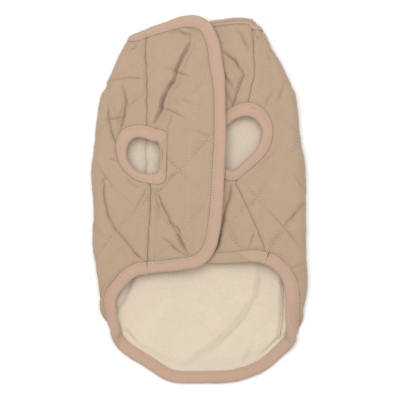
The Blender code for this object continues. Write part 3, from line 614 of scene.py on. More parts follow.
def line_relief(points, across, down, depth, half_width):
    """A trough along a line, with low soft shoulders, fading out towards its ends, and how strongly painted
    shade lies along it.
    """
    points = np.asarray(points, dtype=float)
    lengths = along(points)
    away = np.full(across.shape, 1e9)
    place = np.zeros(across.shape)
    side = np.zeros(across.shape)
    for (x0, y0), (x1, y1), start in zip(points, points[1:], lengths):
        span = math.hypot(x1 - x0, y1 - y0)
        t = np.clip(((across - x0) * (x1 - x0) + (down - y0) * (y1 - y0)) / span ** 2, 0.0, 1.0)
        distance = np.hypot(across - x0 - t * (x1 - x0), down - y0 - t * (y1 - y0))
        nearer = distance < away
        away = np.where(nearer, distance, away)
        place = np.where(nearer, start + t * span, place)
        turn = (x1 - x0) * (down - y0) - (y1 - y0) * (across - x0)
        side = np.where(nearer, np.sign(turn), side)
    away = np.abs(away * side + half_width * (0.2 * rough(place / 4.7, 0.0, depth)
                                                + 0.2 * rough(place / 9.5, 1.0, depth)))
    wander = 0.45 + 0.55 * smooth(0.0, 9.0, place) * smooth(0.0, 9.0, lengths[-1] - place)
    wander *= 0.8 + 0.2 * rough(place / 9.0, 0.0, len(points))
    width = half_width * (0.75 + 0.25 * wander)
    trough = -np.exp(-(away / width) ** 1.35)
    shoulder = 0.42 * np.exp(-((away - 2.2 * width) / (1.5 * width)) ** 2)
    lean = 0.3 * side * np.exp(-(away / (2.6 * width)) ** 2) * (1.0 - np.exp(-(away / (0.5 * width)) ** 2))
    return depth * wander * (trough + shoulder + lean), np.exp(-(away / (0.42 * width)) ** 2) * wander


def tree_of(points):
    """A search tree of points in millimetres."""
    tree = kdtree.KDTree(len(points))
    for number, point in enumerate(points):
        tree.insert(point, number)
    tree.balance()
    return tree


def near_line(points, line, here):
    """Distance from each point to a line, and the way along the line of the nearest place."""
    tree = tree_of(line)
    found = [tree.find(point)[1:] for point in points.reshape(-1, 3)]
    numbers = np.array([number for number, _ in found])
    away = np.array([distance for _, distance in found])
    return away.reshape(points.shape[:-1]), here[numbers].reshape(points.shape[:-1])


def sewn_share(kind, across, down):
    """How clearly the quilting shows: less where the cloth is stretched smooth, and uneven everywhere."""
    shown = 0.55 + 0.75 * rough(across / 26.0, down / 30.0, 51.0)
    if kind == "flap":
        shown = shown - 0.7 * smooth(55.0, 90.0, down)
    if kind == "under":
        shown = shown - 0.5 * smooth(80.0, 110.0, down)
    if kind == "back":
        shown = shown - 0.55 * smooth(85.0, 125.0, down) * (across > 0.0)
    return np.clip(shown, 0.0, 1.0)


def fold_relief(table, across, down):
    """Height of all the creases in a table, and the painted shade in them."""
    height = np.zeros(across.shape)
    dark = np.zeros(across.shape)
    for points, depth, half_width in table:
        relief, line = line_relief(points, across, down, depth, half_width)
        height = height + relief
        # Painted shade along the crease, darker for a deeper crease; a ridge gets none.
        dark = np.maximum(dark, np.clip(0.16 + 0.27 * depth, 0.0, 1.0) * line)
    return height, dark


def gathers(relief, points, edges, seams):
    """Beside bound edges and seams: the share of the padding left, the gathers, and the painted shade along
    them.
    """
    fade = np.ones(points.shape[:2])
    height = np.zeros(points.shape[:2])
    dark = np.zeros(points.shape[:2])
    for number, (line, here, seam) in enumerate([(*edge, False) for edge in edges]
                                                + [(*seam, True) for seam in seams]):
        away, place = near_line(points, line, here)
        fade = fade * smooth(-1.0, 5.0 if seam else 6.5, away)
        ripple = rough(place / 3.0, number, 11.0) + 0.7 * rough(place / 6.4, number, 12.0)
        height = height + relief.pucker * ripple * np.exp(-away / 4.3) * smooth(0.0, 2.0, away)
        height = height + 0.55 * relief.puff / 1.6 * np.exp(-((away - 5.0) / 3.0) ** 2)
        height = height - (0.6 if seam else 0.5) * np.exp(-(away / (1.2 if seam else 1.8)) ** 2)
        # Painted shade in the seams and beside the bound edges.
        strength = 0.42 + 0.26 * rough(place / 5.0, number, 15.0) if seam else 0.34
        dark = np.maximum(dark, strength * np.exp(-(away / (0.6 if seam else 0.9)) ** 2))
    return fade, height, dark


def quilt(kind, relief, points, across, down, edges, seams):
    """Height of the padded cloth over its plain surface, and the painted shade in its stitched lines,
    creases, seams and beside its bound edges.
    """
    families = diamond_lines(kind, across, down)
    away_from = [2.0 * DIAMOND_REACH * np.abs(field - np.round(field)) for field in families]
    nearest = np.minimum(*away_from)
    pillow = 1.0 - (1.0 - np.clip(nearest / DIAMOND_REACH, 0.0, 1.0)) ** 2
    shown = sewn_share(kind, across, down)
    height = relief.puff * (0.5 * (1.0 - np.exp(-nearest / 2.4)) + 0.62 * pillow - 0.45) * (0.3 + 0.7 * shown)
    # Painted shade along the stitched quilting lines.
    dark = 0.3 * np.exp(-(nearest / 0.9) ** 2) * shown
    for away, field, other in zip(away_from, families, families[::-1]):
        place = 2.0 * DIAMOND_REACH * other
        ripple = rough(place / 3.6, np.round(field), 3.0) + 0.6 * rough(place / 7.5, np.round(field), 8.0)
        height = height + relief.pucker * ripple * np.exp(-away / 5.5) * (1.0 - np.exp(-away))
    height = height + relief.waves * (rough(across / 31.0, down / 43.0, 1.0)
                                      + 0.45 * rough(across / 13.0, down / 17.0, 2.0))
    height = height + 0.16 * rough(across / 4.6, down / 5.2, 5.0)
    height = height + 0.25 * rough(across / 8.1, down / 9.3, 6.0)
    top = smooth(TOP_LAYER, 14.0, points[..., 2])
    folds, lines = fold_relief(CREASES[kind], points[..., 0], points[..., 1])
    folds = folds * top * relief.crease
    dark = np.maximum(dark, lines * top)
    fade, gathered, at_edges = gathers(relief, points, edges, seams)
    return (height + folds) * fade + gathered, np.clip(np.maximum(dark, at_edges), 0.0, 1.0)


# ---- sheets ---------------------------------------------------------------------------------------

def grid_between(side_left, side_right, top, bottom):
    """Points between four sides: straight across each row, bowed to the top and bottom near them."""
    v = np.linspace(0.0, 1.0, len(side_left))[:, None, None]
    u = np.linspace(0.0, 1.0, len(top))[None, :, None]
    points = (1 - u) * side_left[:, None] + u * side_right[:, None]
    bow_top = top[None] - (1 - u) * top[0] - u * top[-1]
    bow_bottom = bottom[None] - (1 - u) * bottom[0] - u * bottom[-1]
    return points + (1 - v) ** 3 * bow_top + v ** 3 * bow_bottom


def seam_line(table, start, end, shift, rows):
    """A panel's side in plan along a seam, from its neck corner to its hem corner."""
    line = even([start, *fine(table)[1:-1, :2], end], rows + 1)
    wander = 0.5 * rough(line[:, 1] / 8.0, 0.0, 41.0) + 0.3 * rough(line[:, 1] / 3.4, 0.0, 42.0)
    line[:, 0] += wander * smooth(0.0, 10.0, np.minimum(start[1] - line[:, 1], line[:, 1] - end[1]))
    line[1:-1, 0] += shift
    return line


def into_tape(points, top, bottom, side=None):
    """The grid with its bound rows, and its last column, carried on into their tape."""
    if side is not None:
        points = np.concatenate((points, points[:, -1:] + side[:, None]), axis=1)
        top = np.concatenate((top, top[-1:]))
        bottom = np.concatenate((bottom, bottom[-1:]))
    above = [points[:1] + top[None] * share for share in (1.0, 0.5)]
    below = [points[-1:] + bottom[None] * share for share in (0.5, 1.0)]
    return np.concatenate((*above, points, *below), axis=0)


@functools.lru_cache(maxsize=None)
def front_plan(right):
    """Plain outer surface of a front, and the way its edges go on into their tape."""
    if right:
        edge = front_sides(RIGHT_FRONT_EDGE, RIGHT_CORNERS, True)
        edge = {"sewn": edge["sewn"][::-1], "free": edge["free"][::-1]}
        seam, shift = RIGHT_SEAM, -SEAM_GAP
    else:
        edge = front_sides(LEFT_FRONT_EDGE, LEFT_CORNERS, False)
        seam, shift = LEFT_SEAM, SEAM_GAP
    top = slice(0, FRONT_COLUMNS + 1)
    side = slice(FRONT_COLUMNS, FRONT_COLUMNS + FRONT_ROWS + 1)
    bottom = slice(FRONT_COLUMNS + FRONT_ROWS, None)
    sewn, free = edge["sewn"][:, :2], edge["free"]
    plan = grid_between(seam_line(seam, sewn[0], sewn[-1], shift, FRONT_ROWS),
                        sewn[side], sewn[top], sewn[bottom][::-1])
    points = np.concatenate((plan, top_height(plan[..., 0], plan[..., 1], right)[..., None]), axis=2)
    return points, (free[top], free[side], free[bottom][::-1])


@functools.lru_cache(maxsize=None)
def back_plan(columns):
    """Plain outer surface of the back panel, how far round the tube it is, and its neck and hem."""
    stops = np.concatenate(([0], np.cumsum(columns)))
    layers = np.interp(np.arange(stops[-1] + 1), stops, LAYERS)
    neck = neck_stations(layers)
    rows, dense = dense_hem()
    places = np.interp(layers, LAYERS, HEM_STOPS)
    hem = hem_stations(np.stack([np.interp(places, rows, dense[:, k]) for k in range(4)], axis=1))
    neck_sewn, hem_sewn = neck["sewn"], hem["sewn"]
    left = seam_line(LEFT_SEAM, neck_sewn[0, :2], hem_sewn[0, :2], -SEAM_GAP, ROWS)
    right = seam_line(RIGHT_SEAM, neck_sewn[-1, :2], hem_sewn[-1, :2], SEAM_GAP, ROWS)
    known = np.flatnonzero((layers <= 1.0) | ((layers >= 2.0) & (layers <= 3.0)) | (layers >= 4.0))
    ways = [float(around_top(hem_sewn[c, 0], hem_sewn[c, 1], layers[c] >= 4.0))
            if layers[c] <= 1.0 or layers[c] >= 4.0 else float(hem_sewn[c, 0]) for c in known]
    hem_way = np.interp(layers, layers[known], ways)

    v = np.linspace(0.0, 1.0, ROWS + 1)[:, None]
    near_left = (1.0 - layers / 5.0)[None] ** 2
    near_right = (layers / 5.0)[None] ** 2
    ruled = (1 - v) * neck_sewn[None, :, 1] + v * hem_sewn[None, :, 1]
    y = ruled + near_left * (left[:, 1] - ruled[:, 0])[:, None] \
        + near_right * (right[:, 1] - ruled[:, -1])[:, None]

    def ways_at(row_left, row_right, heights):
        """Way round of each column, with the sides taken at one row and the bends at each height."""
        return np.array([back_ways(height, float(around_top(row_left[0], row_left[1], False)),
                                   float(around_top(row_right[0], row_right[1], True)), layer)
                         for layer, height in zip(layers, heights)])

    around = np.array([ways_at(left[row], right[row], y[row]) for row in range(ROWS + 1)])
    hem_natural = ways_at(left[-1], right[-1], hem_sewn[:, 1])
    neck_natural = ways_at(left[0], right[0], neck_sewn[:, 1])
    around = around + smooth(0.55, 1.0, v) * (hem_way - hem_natural)[None]
    points = tube_points(around, y)
    hem_shift = hem_sewn - tube_points(hem_way, hem_sewn[:, 1])
    neck_shift = neck_sewn - tube_points(neck_natural, neck_sewn[:, 1])
    points = points + smooth(0.75, 1.0, v)[..., None] * hem_shift[None]
    points = points + (1.0 - smooth(0.0, 0.2, v))[..., None] * neck_shift[None]
    share = smooth(0.8, 1.33, np.minimum(layers, 5.0 - layers))[None, :, None]
    for edge in (neck, hem):
        away = np.linalg.norm(points - edge["sewn"][None], axis=-1)
        rise = np.maximum(edge["free"][:, 2], 1e-6)
        reach = np.minimum(away, np.where(edge["free"][:, 2] > 0.0, edge["sewn"][:, 2] / rise, 1e3)[None])
        straight = edge["sewn"][None] - edge["free"][None] * reach[..., None]
        points = points + share * (1.0 - smooth(3.0, 15.0, away))[..., None] * (straight - points)
    points[..., 2] = np.maximum(points[..., 2], 0.0)
    return points, around, neck, hem


def evened(normals, times):
    """Normals of a grid, each drawn towards those about it."""
    for _ in range(times):
        padded = np.pad(normals, ((1, 1), (1, 1), (0, 0)), mode="edge")
        normals = unit(normals + padded[:-2, 1:-1] + padded[2:, 1:-1] + padded[1:-1, :-2] + padded[1:-1, 2:])
    return normals


@functools.lru_cache(maxsize=None)
def back_normals(columns):
    """Outward normals of the back panel, turned to those of its tape near the neck and the hem."""
    points, _, neck, hem = back_plan(columns)
    normals = normals_of(points)
    for edge in (neck, hem):
        near = 1.0 - smooth(2.0, 13.0, np.linalg.norm(points - edge["sewn"][None], axis=-1))
        normals = unit(normals * (1.0 - near[..., None]) + edge["normal"][None] * near[..., None])
    return normals


def eased(points, share, times):
    """Points of a grid, each drawn by its share towards the middle of those about it; the rim stays."""
    share = np.pad(share[1:-1, 1:-1], 1)[..., None]
    for _ in range(times):
        padded = np.pad(points, ((1, 1), (1, 1), (0, 0)), mode="edge")
        about = (padded[:-2, 1:-1] + padded[2:, 1:-1] + padded[1:-1, :-2] + padded[1:-1, 2:]) / 4.0
        points = points + share * (about - points)
    return points


def kept_inside(points, outer, least):
    """Points moved in wherever they are less than least millimetres inside an outer layer of cloth."""
    rows = outer.reshape(-1, 3)
    outward = normals_of(outer).reshape(-1, 3)
    tree = tree_of(rows)
    moved = points.reshape(-1, 3).copy()
    for _ in range(3):
        numbers = [tree.find(point)[1] for point in moved]
        room = ((rows[numbers] - moved) * outward[numbers]).sum(axis=1)
        moved -= outward[numbers] * np.clip(least - room, 0.0, 4.0)[:, None]
    return moved.reshape(points.shape)


def hole_contour(right, reach):
    """Outline in plan of what is cut away at a leg hole, reach millimetres inside the sewn edge."""
    edge = hole_edge(right)
    return (edge["sewn"] + edge["free"] * reach)[:, :2]


def inside(points, outline):
    """Which points lie inside a closed outline in plan."""
    x, y = points[..., 0], points[..., 1]
    crossings = np.zeros(x.shape, dtype=int)
    for (x0, y0), (x1, y1) in zip(outline, np.roll(outline, -1, axis=0)):
        if y0 != y1:
            spans = (y0 > y) != (y1 > y)
            crossings += spans & (x < (x1 - x0) * (y - y0) / (y1 - y0) + x0)
    return crossings % 2 == 1


def sheet_mesh(name, points, marks, right=None):
    """A mesh through a grid of points, open at the leg hole of its side, with its marks as attributes."""
    rows, columns = points.shape[0] - 1, points.shape[1] - 1
    cloth = bmesh.new()
    bmesh.ops.create_grid(cloth, x_segments=columns, y_segments=rows, size=0.5)
    flat = points.reshape(-1, 3) * MM
    places = [round((vertex.co.y + 0.5) * rows) * (columns + 1) + round((vertex.co.x + 0.5) * columns)
              for vertex in cloth.verts]
    layers = {mark: cloth.verts.layers.float.new(mark) for mark in marks}
    for vertex, place in zip(cloth.verts, places):
        vertex.co = flat[place]
    for mark, layer in layers.items():
        values = marks[mark].reshape(-1)
        for vertex, place in zip(cloth.verts, places):
            vertex[layer] = values[place]
    for side in ((False, True) if right is None else (right,)):
        open_hole(cloth, side)
    if cloth_faces_down(cloth):
        bmesh.ops.reverse_faces(cloth, faces=cloth.faces[:])
    mesh = bpy.data.meshes.new(name)
    cloth.to_mesh(mesh)
    cloth.free()
    mesh.shade_smooth()
    return mesh


def cloth_faces_down(cloth):
    """Whether the highest face of a sheet points down, so that it needs turning over."""
    cloth.normal_update()
    highest = max(cloth.faces, key=lambda face: face.calc_center_median().z)
    return highest.normal.z < 0.0


def open_hole(cloth, right):
    """Cut a leg hole in the top layer and draw the cut edge to its outline."""
    outline = hole_contour(right, HOLE_REACH)
    cloth.verts.index_update()
    co = np.array([vertex.co for vertex in cloth.verts]) / MM
    within = inside(co, outline) & (co[:, 2] > TOP_LAYER)
    drawn = [vertex for vertex in cloth.verts if within[vertex.index]]
    gone = [face for face in cloth.faces if all(within[vertex.index] for vertex in face.verts)]
    if not gone:
        return
    bmesh.ops.delete(cloth, geom=gone, context="FACES")
    tree = tree_of([(x, y, 0.0) for x, y in even(np.vstack((outline, outline[:1])), 900)])
    for vertex in drawn:
        if vertex.is_valid:
            place = tree.find((vertex.co.x / MM, vertex.co.y / MM, 0.0))[0]
            vertex.co.x, vertex.co.y = place.x * MM, place.y * MM
    bmesh.ops.dissolve_degenerate(cloth, dist=1e-5, edges=cloth.edges[:])


def place_piece(mesh, name, looks, nodes=()):
    """Make a piece of the coat from a mesh: its materials, its body, and the solid it stands for."""
    piece = bpy.data.objects.new(name, mesh)
    bpy.context.scene.collection.objects.link(piece)
    for look in looks:
        mesh.materials.append(look)
    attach(piece, "root")
    if nodes:
        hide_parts(*nodes)
    return piece


def give_wall(piece, thickness, inner_look=False):
    """Give a sheet its thickness, inwards from its outer face."""
    wall = piece.modifiers.new("Wall", "SOLIDIFY")
    wall.thickness = thickness * MM
    wall.offset = -1.0
    if inner_look:
        wall.material_offset = 1


# ---- the padded cloth -----------------------------------------------------------------------------

class Relief(typing.NamedTuple):
    """How the padding stands up, in millimetres, and how strongly the creases are pressed in."""
    puff: float
    pucker: float
    waves: float
    crease: float


def relief_of(cloth):
    """The relief that the cloth settings ask for."""
    return Relief(cloth.puff / MM, cloth.pucker / MM, cloth.waves / MM, cloth.crease)


def sewn_line(edge):
    """The sewn line of a bound edge and the distance along it."""
    return edge["sewn"], edge["here"]


def seam_of(points, column):
    """A panel's side along a seam, and the distance along it."""
    line = points[:, column]
    return line, along(line)


@functools.lru_cache(maxsize=None)
def front_cloth(right, relief):
    """Padded outer surface of a front: points, normals, painted shade, and its edges' ways into their tape.
    """
    plain, ways = front_plan(right)
    normals = normals_of(plain)
    if normals[..., 2].mean() < 0.0:
        normals = -normals
    kind = "under" if right else "flap"
    height, dark = quilt(kind, relief, plain, plain[..., 0], plain[..., 1],
                         [sewn_line(front_edge(right)), sewn_line(hole_edge(right))],
                         [seam_of(plain, 0)])
    if right:
        covered = 1.0 - smooth(8.0, 24.0, plain[..., 0])
        height = height - covered * np.maximum(height - 0.2, 0.0)
    points = plain + normals * height[..., None]
    return points, normals, dark, ways


@functools.lru_cache(maxsize=None)
def back_cloth(relief, columns):
    """Padded outer surface of the back panel: points, normals, height and painted shade."""
    plain, around, _, _ = back_plan(columns)
    normals = back_normals(columns)
    height, dark = quilt("back", relief, plain, around, plain[..., 1],
                         [sewn_line(edge) for edge in (hem_edge(), neck_edge(), hole_edge(False),
                                                       hole_edge(True))],
                         [seam_of(plain, 0), seam_of(plain, -1)])
    resting = 1.0 - smooth(0.0, 5.0, plain[..., 2])
    height = height - 0.85 * resting * np.maximum(height, 0.0)
    points = plain + normals * height[..., None]
    points[..., 2] = np.maximum(points[..., 2], 0.0)
    return points, normals, height, dark


def lining_cloth(relief, shell_wall):
    """Padded outer surface of the fleece, inside the shell and its wall: points and the painted shade of its
    folds.
    """
    plain, _, neck, hem = back_plan(FLEECE_COLUMNS)
    _, normals, height, _ = back_cloth(relief, FLEECE_COLUMNS)
    corner = 1.0 - smooth(14.0, 28.0, np.linalg.norm(plain - hem["sewn"][None], axis=-1))
    plain = eased(plain, 0.6 * corner, 40)
    normals = evened(normals, 12)
    soft, lines = fold_relief(FLEECE_FOLDS, plain[..., 0], plain[..., 1])
    low = 1.0 - smooth(5.0, TOP_LAYER, plain[..., 2])
    uneven = 0.5 * rough(plain[..., 0] / 24.0, plain[..., 1] / 29.0, 21.0) * low
    away = np.minimum(*(np.linalg.norm(plain - edge["sewn"][None], axis=-1) for edge in (neck, hem)))
    inside_tape = 1.0 - smooth(3.0, 15.0, away)
    nominal = SHELL + GAP - 0.9 * inside_tape
    loft = 1.3 + 0.6 * rough(plain[..., 0] / 41.0, plain[..., 1] / 47.0, 22.0)
    loft = loft * low * smooth(1.0, 18.0, away)
    depth = np.maximum(nominal, shell_wall + 0.9 - 0.5 * inside_tape - height)
    depth = np.maximum(depth + loft + (soft + uneven) * smooth(1.0, 6.0, away), nominal)
    outer = back_cloth(relief, SHELL_COLUMNS)[0]
    points = kept_inside(plain - normals * depth[..., None], outer, shell_wall + 0.7)
    points = eased(points, 0.5 * corner, 8)
    points[..., 2] = np.maximum(points[..., 2], FLEECE_REST)
    return points, lines * low


def carried(values):
    """Marks of a grid, carried on into the tape at the top and bottom."""
    return np.pad(values, ((2, 2), (0, 0)), mode="edge")


def tape_ways(edge):
    """How far and which way each column of cloth goes on into its tape."""
    return edge["free"] * np.minimum(TAPE_REACH, edge["width"] - 2.4)[:, None]


# ---- bound edges as pieces ------------------------------------------------------------------------

def tape_section(width, thick, tape):
    """Outline of the folded tape across an edge: out from the sewn line and up from the cloth."""
    over, under = tape.over / MM, tape.under / MM
    dip = 0.3
    half = ((-0.9, 0.25), (-0.7, 0.75), (-0.1, over - 0.35), (0.7, over - 0.1), (1.5, over - dip),
            (2.3, over - 0.05), (width * 0.38, over + 0.12), (width * 0.58, over + 0.12),
            (width - 3.0, over), (width - 1.6, over - 0.35), (width - 0.6, over - 1.1),
            (width - 0.08, over - 2.2))
    low = [(out, -thick - (up - over) - under) for out, up in reversed(half)]
    inner = ((-0.4, -thick - 0.35), (width - 2.2, -thick - 0.35), (width - 2.2, 0.35), (-0.4, 0.35))
    return np.array([*half, *low, *inner])


def longer(edge, reach):
    """An open bound edge with a station more at each end, so that it meets the next edge at the seam."""
    made = dict(edge)
    for key in ("free", "normal", "ahead"):
        made[key] = np.concatenate((edge[key][:1], edge[key], edge[key][-1:]))
    made["width"] = np.concatenate((edge["width"][:1], edge["width"], edge["width"][-1:]))
    made["sewn"] = np.concatenate((edge["sewn"][:1] - edge["ahead"][:1] * reach[0], edge["sewn"],
                                   edge["sewn"][-1:] + edge["ahead"][-1:] * reach[1]))
    made["here"] = np.concatenate(([0.0], edge["here"] + reach[0], [edge["here"][-1] + sum(reach)]))
    return made


def turned_share(name, x, y, share):
    """Where cloth turned over the tape hides it: 1 hidden, 0 shown. The share is 0 at the sewn line."""
    if name == "left_armhole":
        return smooth(-46.5, -43.0, x) * (1.0 - smooth(62.0, 66.0, y)) * smooth(22.0, 27.0, y)
    if name == "right_front" and y < -40.0:
        return 1.0 - smooth(0.0, 3.0, x - 38.5 - 15.0 * share)
    return 0.0


def tape_swell(section, place, tape, seed):
    """How much the tape's outline swells at a place along it: unevenly, on its ribs, less at its stitches."""
    swell = 0.16 * rough(place / 5.0, section[:, 0] / 5.0, seed)
    swell = swell + 0.1 * rough(place / 11.0, 0.0, seed + 1.0)
    swell = swell + tape.rib / MM * np.cos(2.0 * math.pi * place / (tape.pitch / MM))
    pulled = np.exp(-((section[:, 0] - TAPE_STITCH_OUT) / 0.8) ** 2)
    stitch = 0.5 + 0.5 * np.cos(2.0 * math.pi * place / STITCHES["tape"][0])
    return swell - 0.14 * pulled * stitch


def tape_rings(name, edge, here, thick, tape, seed):
    """The tape's outline at each station, how far out its corners are, and how far they are hidden."""
    rings, outs, hidden = [], [], []
    for station in range(len(edge["sewn"])):
        width = float(edge["width"][station])
        section = tape_section(width, thick, tape)
        place = here[station]
        x, y = edge["sewn"][station][:2]
        hidden.append([float(turned_share(name, x, y, out / width)) for out in section[:, 0]])
        upper = section[:, 1] > 0.3
        section[upper, 1] -= np.array(hidden[-1])[upper] * np.minimum(section[upper, 1] - 0.3, 0.7)
        swell = tape_swell(section, place, tape, seed)
        # Tape that stands on its edge is fuller, and the inside of the channel stays as it is.
        standing = float(smooth(0.62, 1.0, edge["free"][station][2]))
        swell = swell + standing * np.where(section[:, 1] > -thick / 2.0, 1.5, 2.8)
        outward = np.where(section[:, 1] > -thick / 2.0, 1.0, -1.0)
        outward[-CHANNEL_CORNERS:] = 0.0
        section[:, 1] += swell * outward
        ends = 1.0 if edge["closed"] else smooth(0.0, 3.0, place) * smooth(0.0, 3.0, here[-1] - place)
        outer = section[:-CHANNEL_CORNERS, 0]
        outer += 0.22 * rough(place / 7.0, 0.0, seed + 2.0) * (outer / width) * ends
        rings.append(edge["sewn"][station] + section[:, :1] * edge["free"][station]
                     + section[:, 1:] * edge["normal"][station])
        outs.append(section[:, 0])
    return np.array(rings), outs, hidden


def tape_mesh(name, edge, thick, tape, seed):
    """A channel of folded ribbed tape along a bound edge, with its own map of the cloth."""
    if name in END_REACH:
        edge = longer(edge, END_REACH[name])
    count = len(edge["sewn"])
    steps = count if edge["closed"] else count - 1
    here = np.append(edge["here"], edge["here"][-1] + STATION) if edge["closed"] else edge["here"]
    rings, outs, hidden = tape_rings(name, edge, here, thick, tape, seed)
    corners = len(rings[0])
    around = along(np.vstack((rings[0], rings[0][:1])))
    rings[..., 2] = np.maximum(rings[..., 2], TAPE_REST)
    made = bmesh.new()
    bmesh.ops.create_grid(made, x_segments=corners, y_segments=steps, size=0.5)
    plan = made.loops.layers.uv.new("plan")
    sewn = made.verts.layers.float.new("sewn")
    turned = made.verts.layers.float.new("turned")
    for face in made.faces:
        for loop in face.loops:
            corner = round((loop.vert.co.x + 0.5) * corners)
            station = round((loop.vert.co.y + 0.5) * steps)
            loop[plan].uv = (here[station] * MM, around[corner] * MM)
    for vertex in made.verts:
        corner = round((vertex.co.x + 0.5) * corners) % corners
        station = round((vertex.co.y + 0.5) * steps) % count
        vertex.co = rings[station][corner] * MM
        vertex[turned] = hidden[station][corner]
        # Painted shade along the tape's stitched line, none where cloth is turned over it.
        vertex[sewn] = math.exp(-((outs[station][corner] - TAPE_STITCH_OUT) / 0.7) ** 2) \
            * (1.0 - vertex[turned])
    bmesh.ops.remove_doubles(made, verts=made.verts[:], dist=1e-7)
    if not edge["closed"]:
        bmesh.ops.holes_fill(made, edges=[side for side in made.edges if side.is_boundary])
    bmesh.ops.recalc_face_normals(made, faces=made.faces[:])
    if made.calc_volume(signed=True) < 0.0:
        bmesh.ops.reverse_faces(made, faces=made.faces[:])
    mesh = bpy.data.meshes.new(name + "_tape")
    made.to_mesh(mesh)
    made.free()
    mesh.shade_smooth()
    return mesh


# ---- stitches -------------------------------------------------------------------------------------

def stitch_places(points, normals, pitch, length):
    """Middles, ways and normals of stitches along a line."""
    here = along(points)
    count = int((here[-1] - length) / pitch)
    if count < 1:
        return []
    middles = np.linspace(length, here[-1] - length, count + 1)

    def at(where, values):
        return np.stack([np.interp(where, here, values[:, k]) for k in range(3)], axis=1)

    ahead = unit(at(middles + 0.5, points) - at(middles - 0.5, points))
    return list(zip(at(middles, points), ahead, unit(at(middles, normals))))


def stitches_mesh(name, places, length, width, seed):
    """All the stitches of a piece: small plump beads of thread pressed into the cloth."""
    whole = bmesh.new()
    for start in range(0, len(places), BATCH):
        some = bmesh.new()
        for number, (middle, ahead, normal) in enumerate(places[start:start + BATCH]):
            turn = 0.09 * float(rough((start + number) * 1.7, 0.0, seed))
            ahead = Vector(ahead) + Vector(np.cross(normal, ahead)) * turn
            side = Vector(normal).cross(ahead).normalized()
            up = ahead.cross(side).normalized()
            grown = 1.0 + 0.14 * float(rough((start + number) * 2.3, 1.0, seed))
            axes = Matrix((ahead.normalized() * length * grown, side * width, up * width * 0.8))
            matrix = Matrix.Translation(Vector(middle) * MM) @ (axes.transposed() * MM * 0.5).to_4x4()
            bmesh.ops.create_uvsphere(some, u_segments=6, v_segments=4, radius=1.0,
                                      matrix=matrix @ Matrix.Rotation(math.pi / 2.0, 4, "Y"))
        part = bpy.data.meshes.new("some_stitches")
        some.to_mesh(part)
        some.free()
        whole.from_mesh(part)
        bpy.data.meshes.remove(part)
    bmesh.ops.recalc_face_normals(whole, faces=whole.faces[:])
    mesh = bpy.data.meshes.new(name)
    whole.to_mesh(mesh)
    whole.free()
    mesh.shade_smooth()
    return mesh


def quilting_lines(kind, points, normals, across, down, keep):
    """Each quilting line of a grid as points and normals, where keep says the cloth is."""
    found = []
    for field in diamond_lines(kind, across, down):
        for number in range(math.ceil(field.min()), math.floor(field.max()) + 1):
            line = []
            for row in range(field.shape[0]):
                value = field[row] - number
                crossing = np.nonzero(np.sign(value[:-1]) != np.sign(value[1:]))[0]
                if len(crossing) == 0 or not keep[row, crossing[0]]:
                    if len(line) >= FEWEST_POINTS:
                        found.append(line)
                    line = []
                    continue
                column = crossing[0]
                t = value[column] / (value[column] - value[column + 1])
                line.append((*(points[row, column] * (1 - t) + points[row, column + 1] * t),
                             *(normals[row, column] * (1 - t) + normals[row, column + 1] * t)))
            if len(line) >= FEWEST_POINTS:
                found.append(line)
    return [(np.array(line)[:, :3], np.array(line)[:, 3:]) for line in found]


def clear_of(points, edges, margin, sides):
    """Where a grid's cloth is at least margin from its bound edges and outside its leg holes."""
    keep = np.ones(points.shape[:2], dtype=bool)
    for edge in edges:
        keep &= near_line(points, edge["sewn"], edge["here"])[0] > margin
    for side in sides:
        keep &= ~(inside(points, hole_contour(side, -margin)) & (points[..., 2] > TOP_LAYER))
    return keep


def on_cloth(line, points, normals):
    """A line in plan, laid on a grid of cloth."""
    rows = points.reshape(-1, 3)
    tree = tree_of([(x, y, 0.0) for x, y, _ in rows])
    dense = even(spline(line, np.linspace(0.0, len(line) - 1.0, 20 * len(line))), 12 * len(line))
    numbers = [tree.find((x, y, 0.0))[1] for x, y in dense]
    heights = rows[numbers, 2]
    heights = np.convolve(np.pad(heights, 3, mode="edge"), np.full(7, 1.0 / 7.0), mode="valid")
    return np.column_stack((dense, heights)), normals.reshape(-1, 3)[numbers]


# ---- materials ------------------------------------------------------------------------------------

class Value:
    """A number that varies over a surface, as the output of a node, with arithmetic."""

    def __init__(self, look, socket):
        self.look, self.socket = look, socket

    def __add__(self, other):
        return self.look.maths("ADD", self, other)

    def __radd__(self, other):
        return self.look.maths("ADD", other, self)

    def __sub__(self, other):
        return self.look.maths("SUBTRACT", self, other)

    def __rsub__(self, other):
        return self.look.maths("SUBTRACT", other, self)

    def __mul__(self, other):
        return self.look.maths("MULTIPLY", self, other)

    def __rmul__(self, other):
        return self.look.maths("MULTIPLY", other, self)


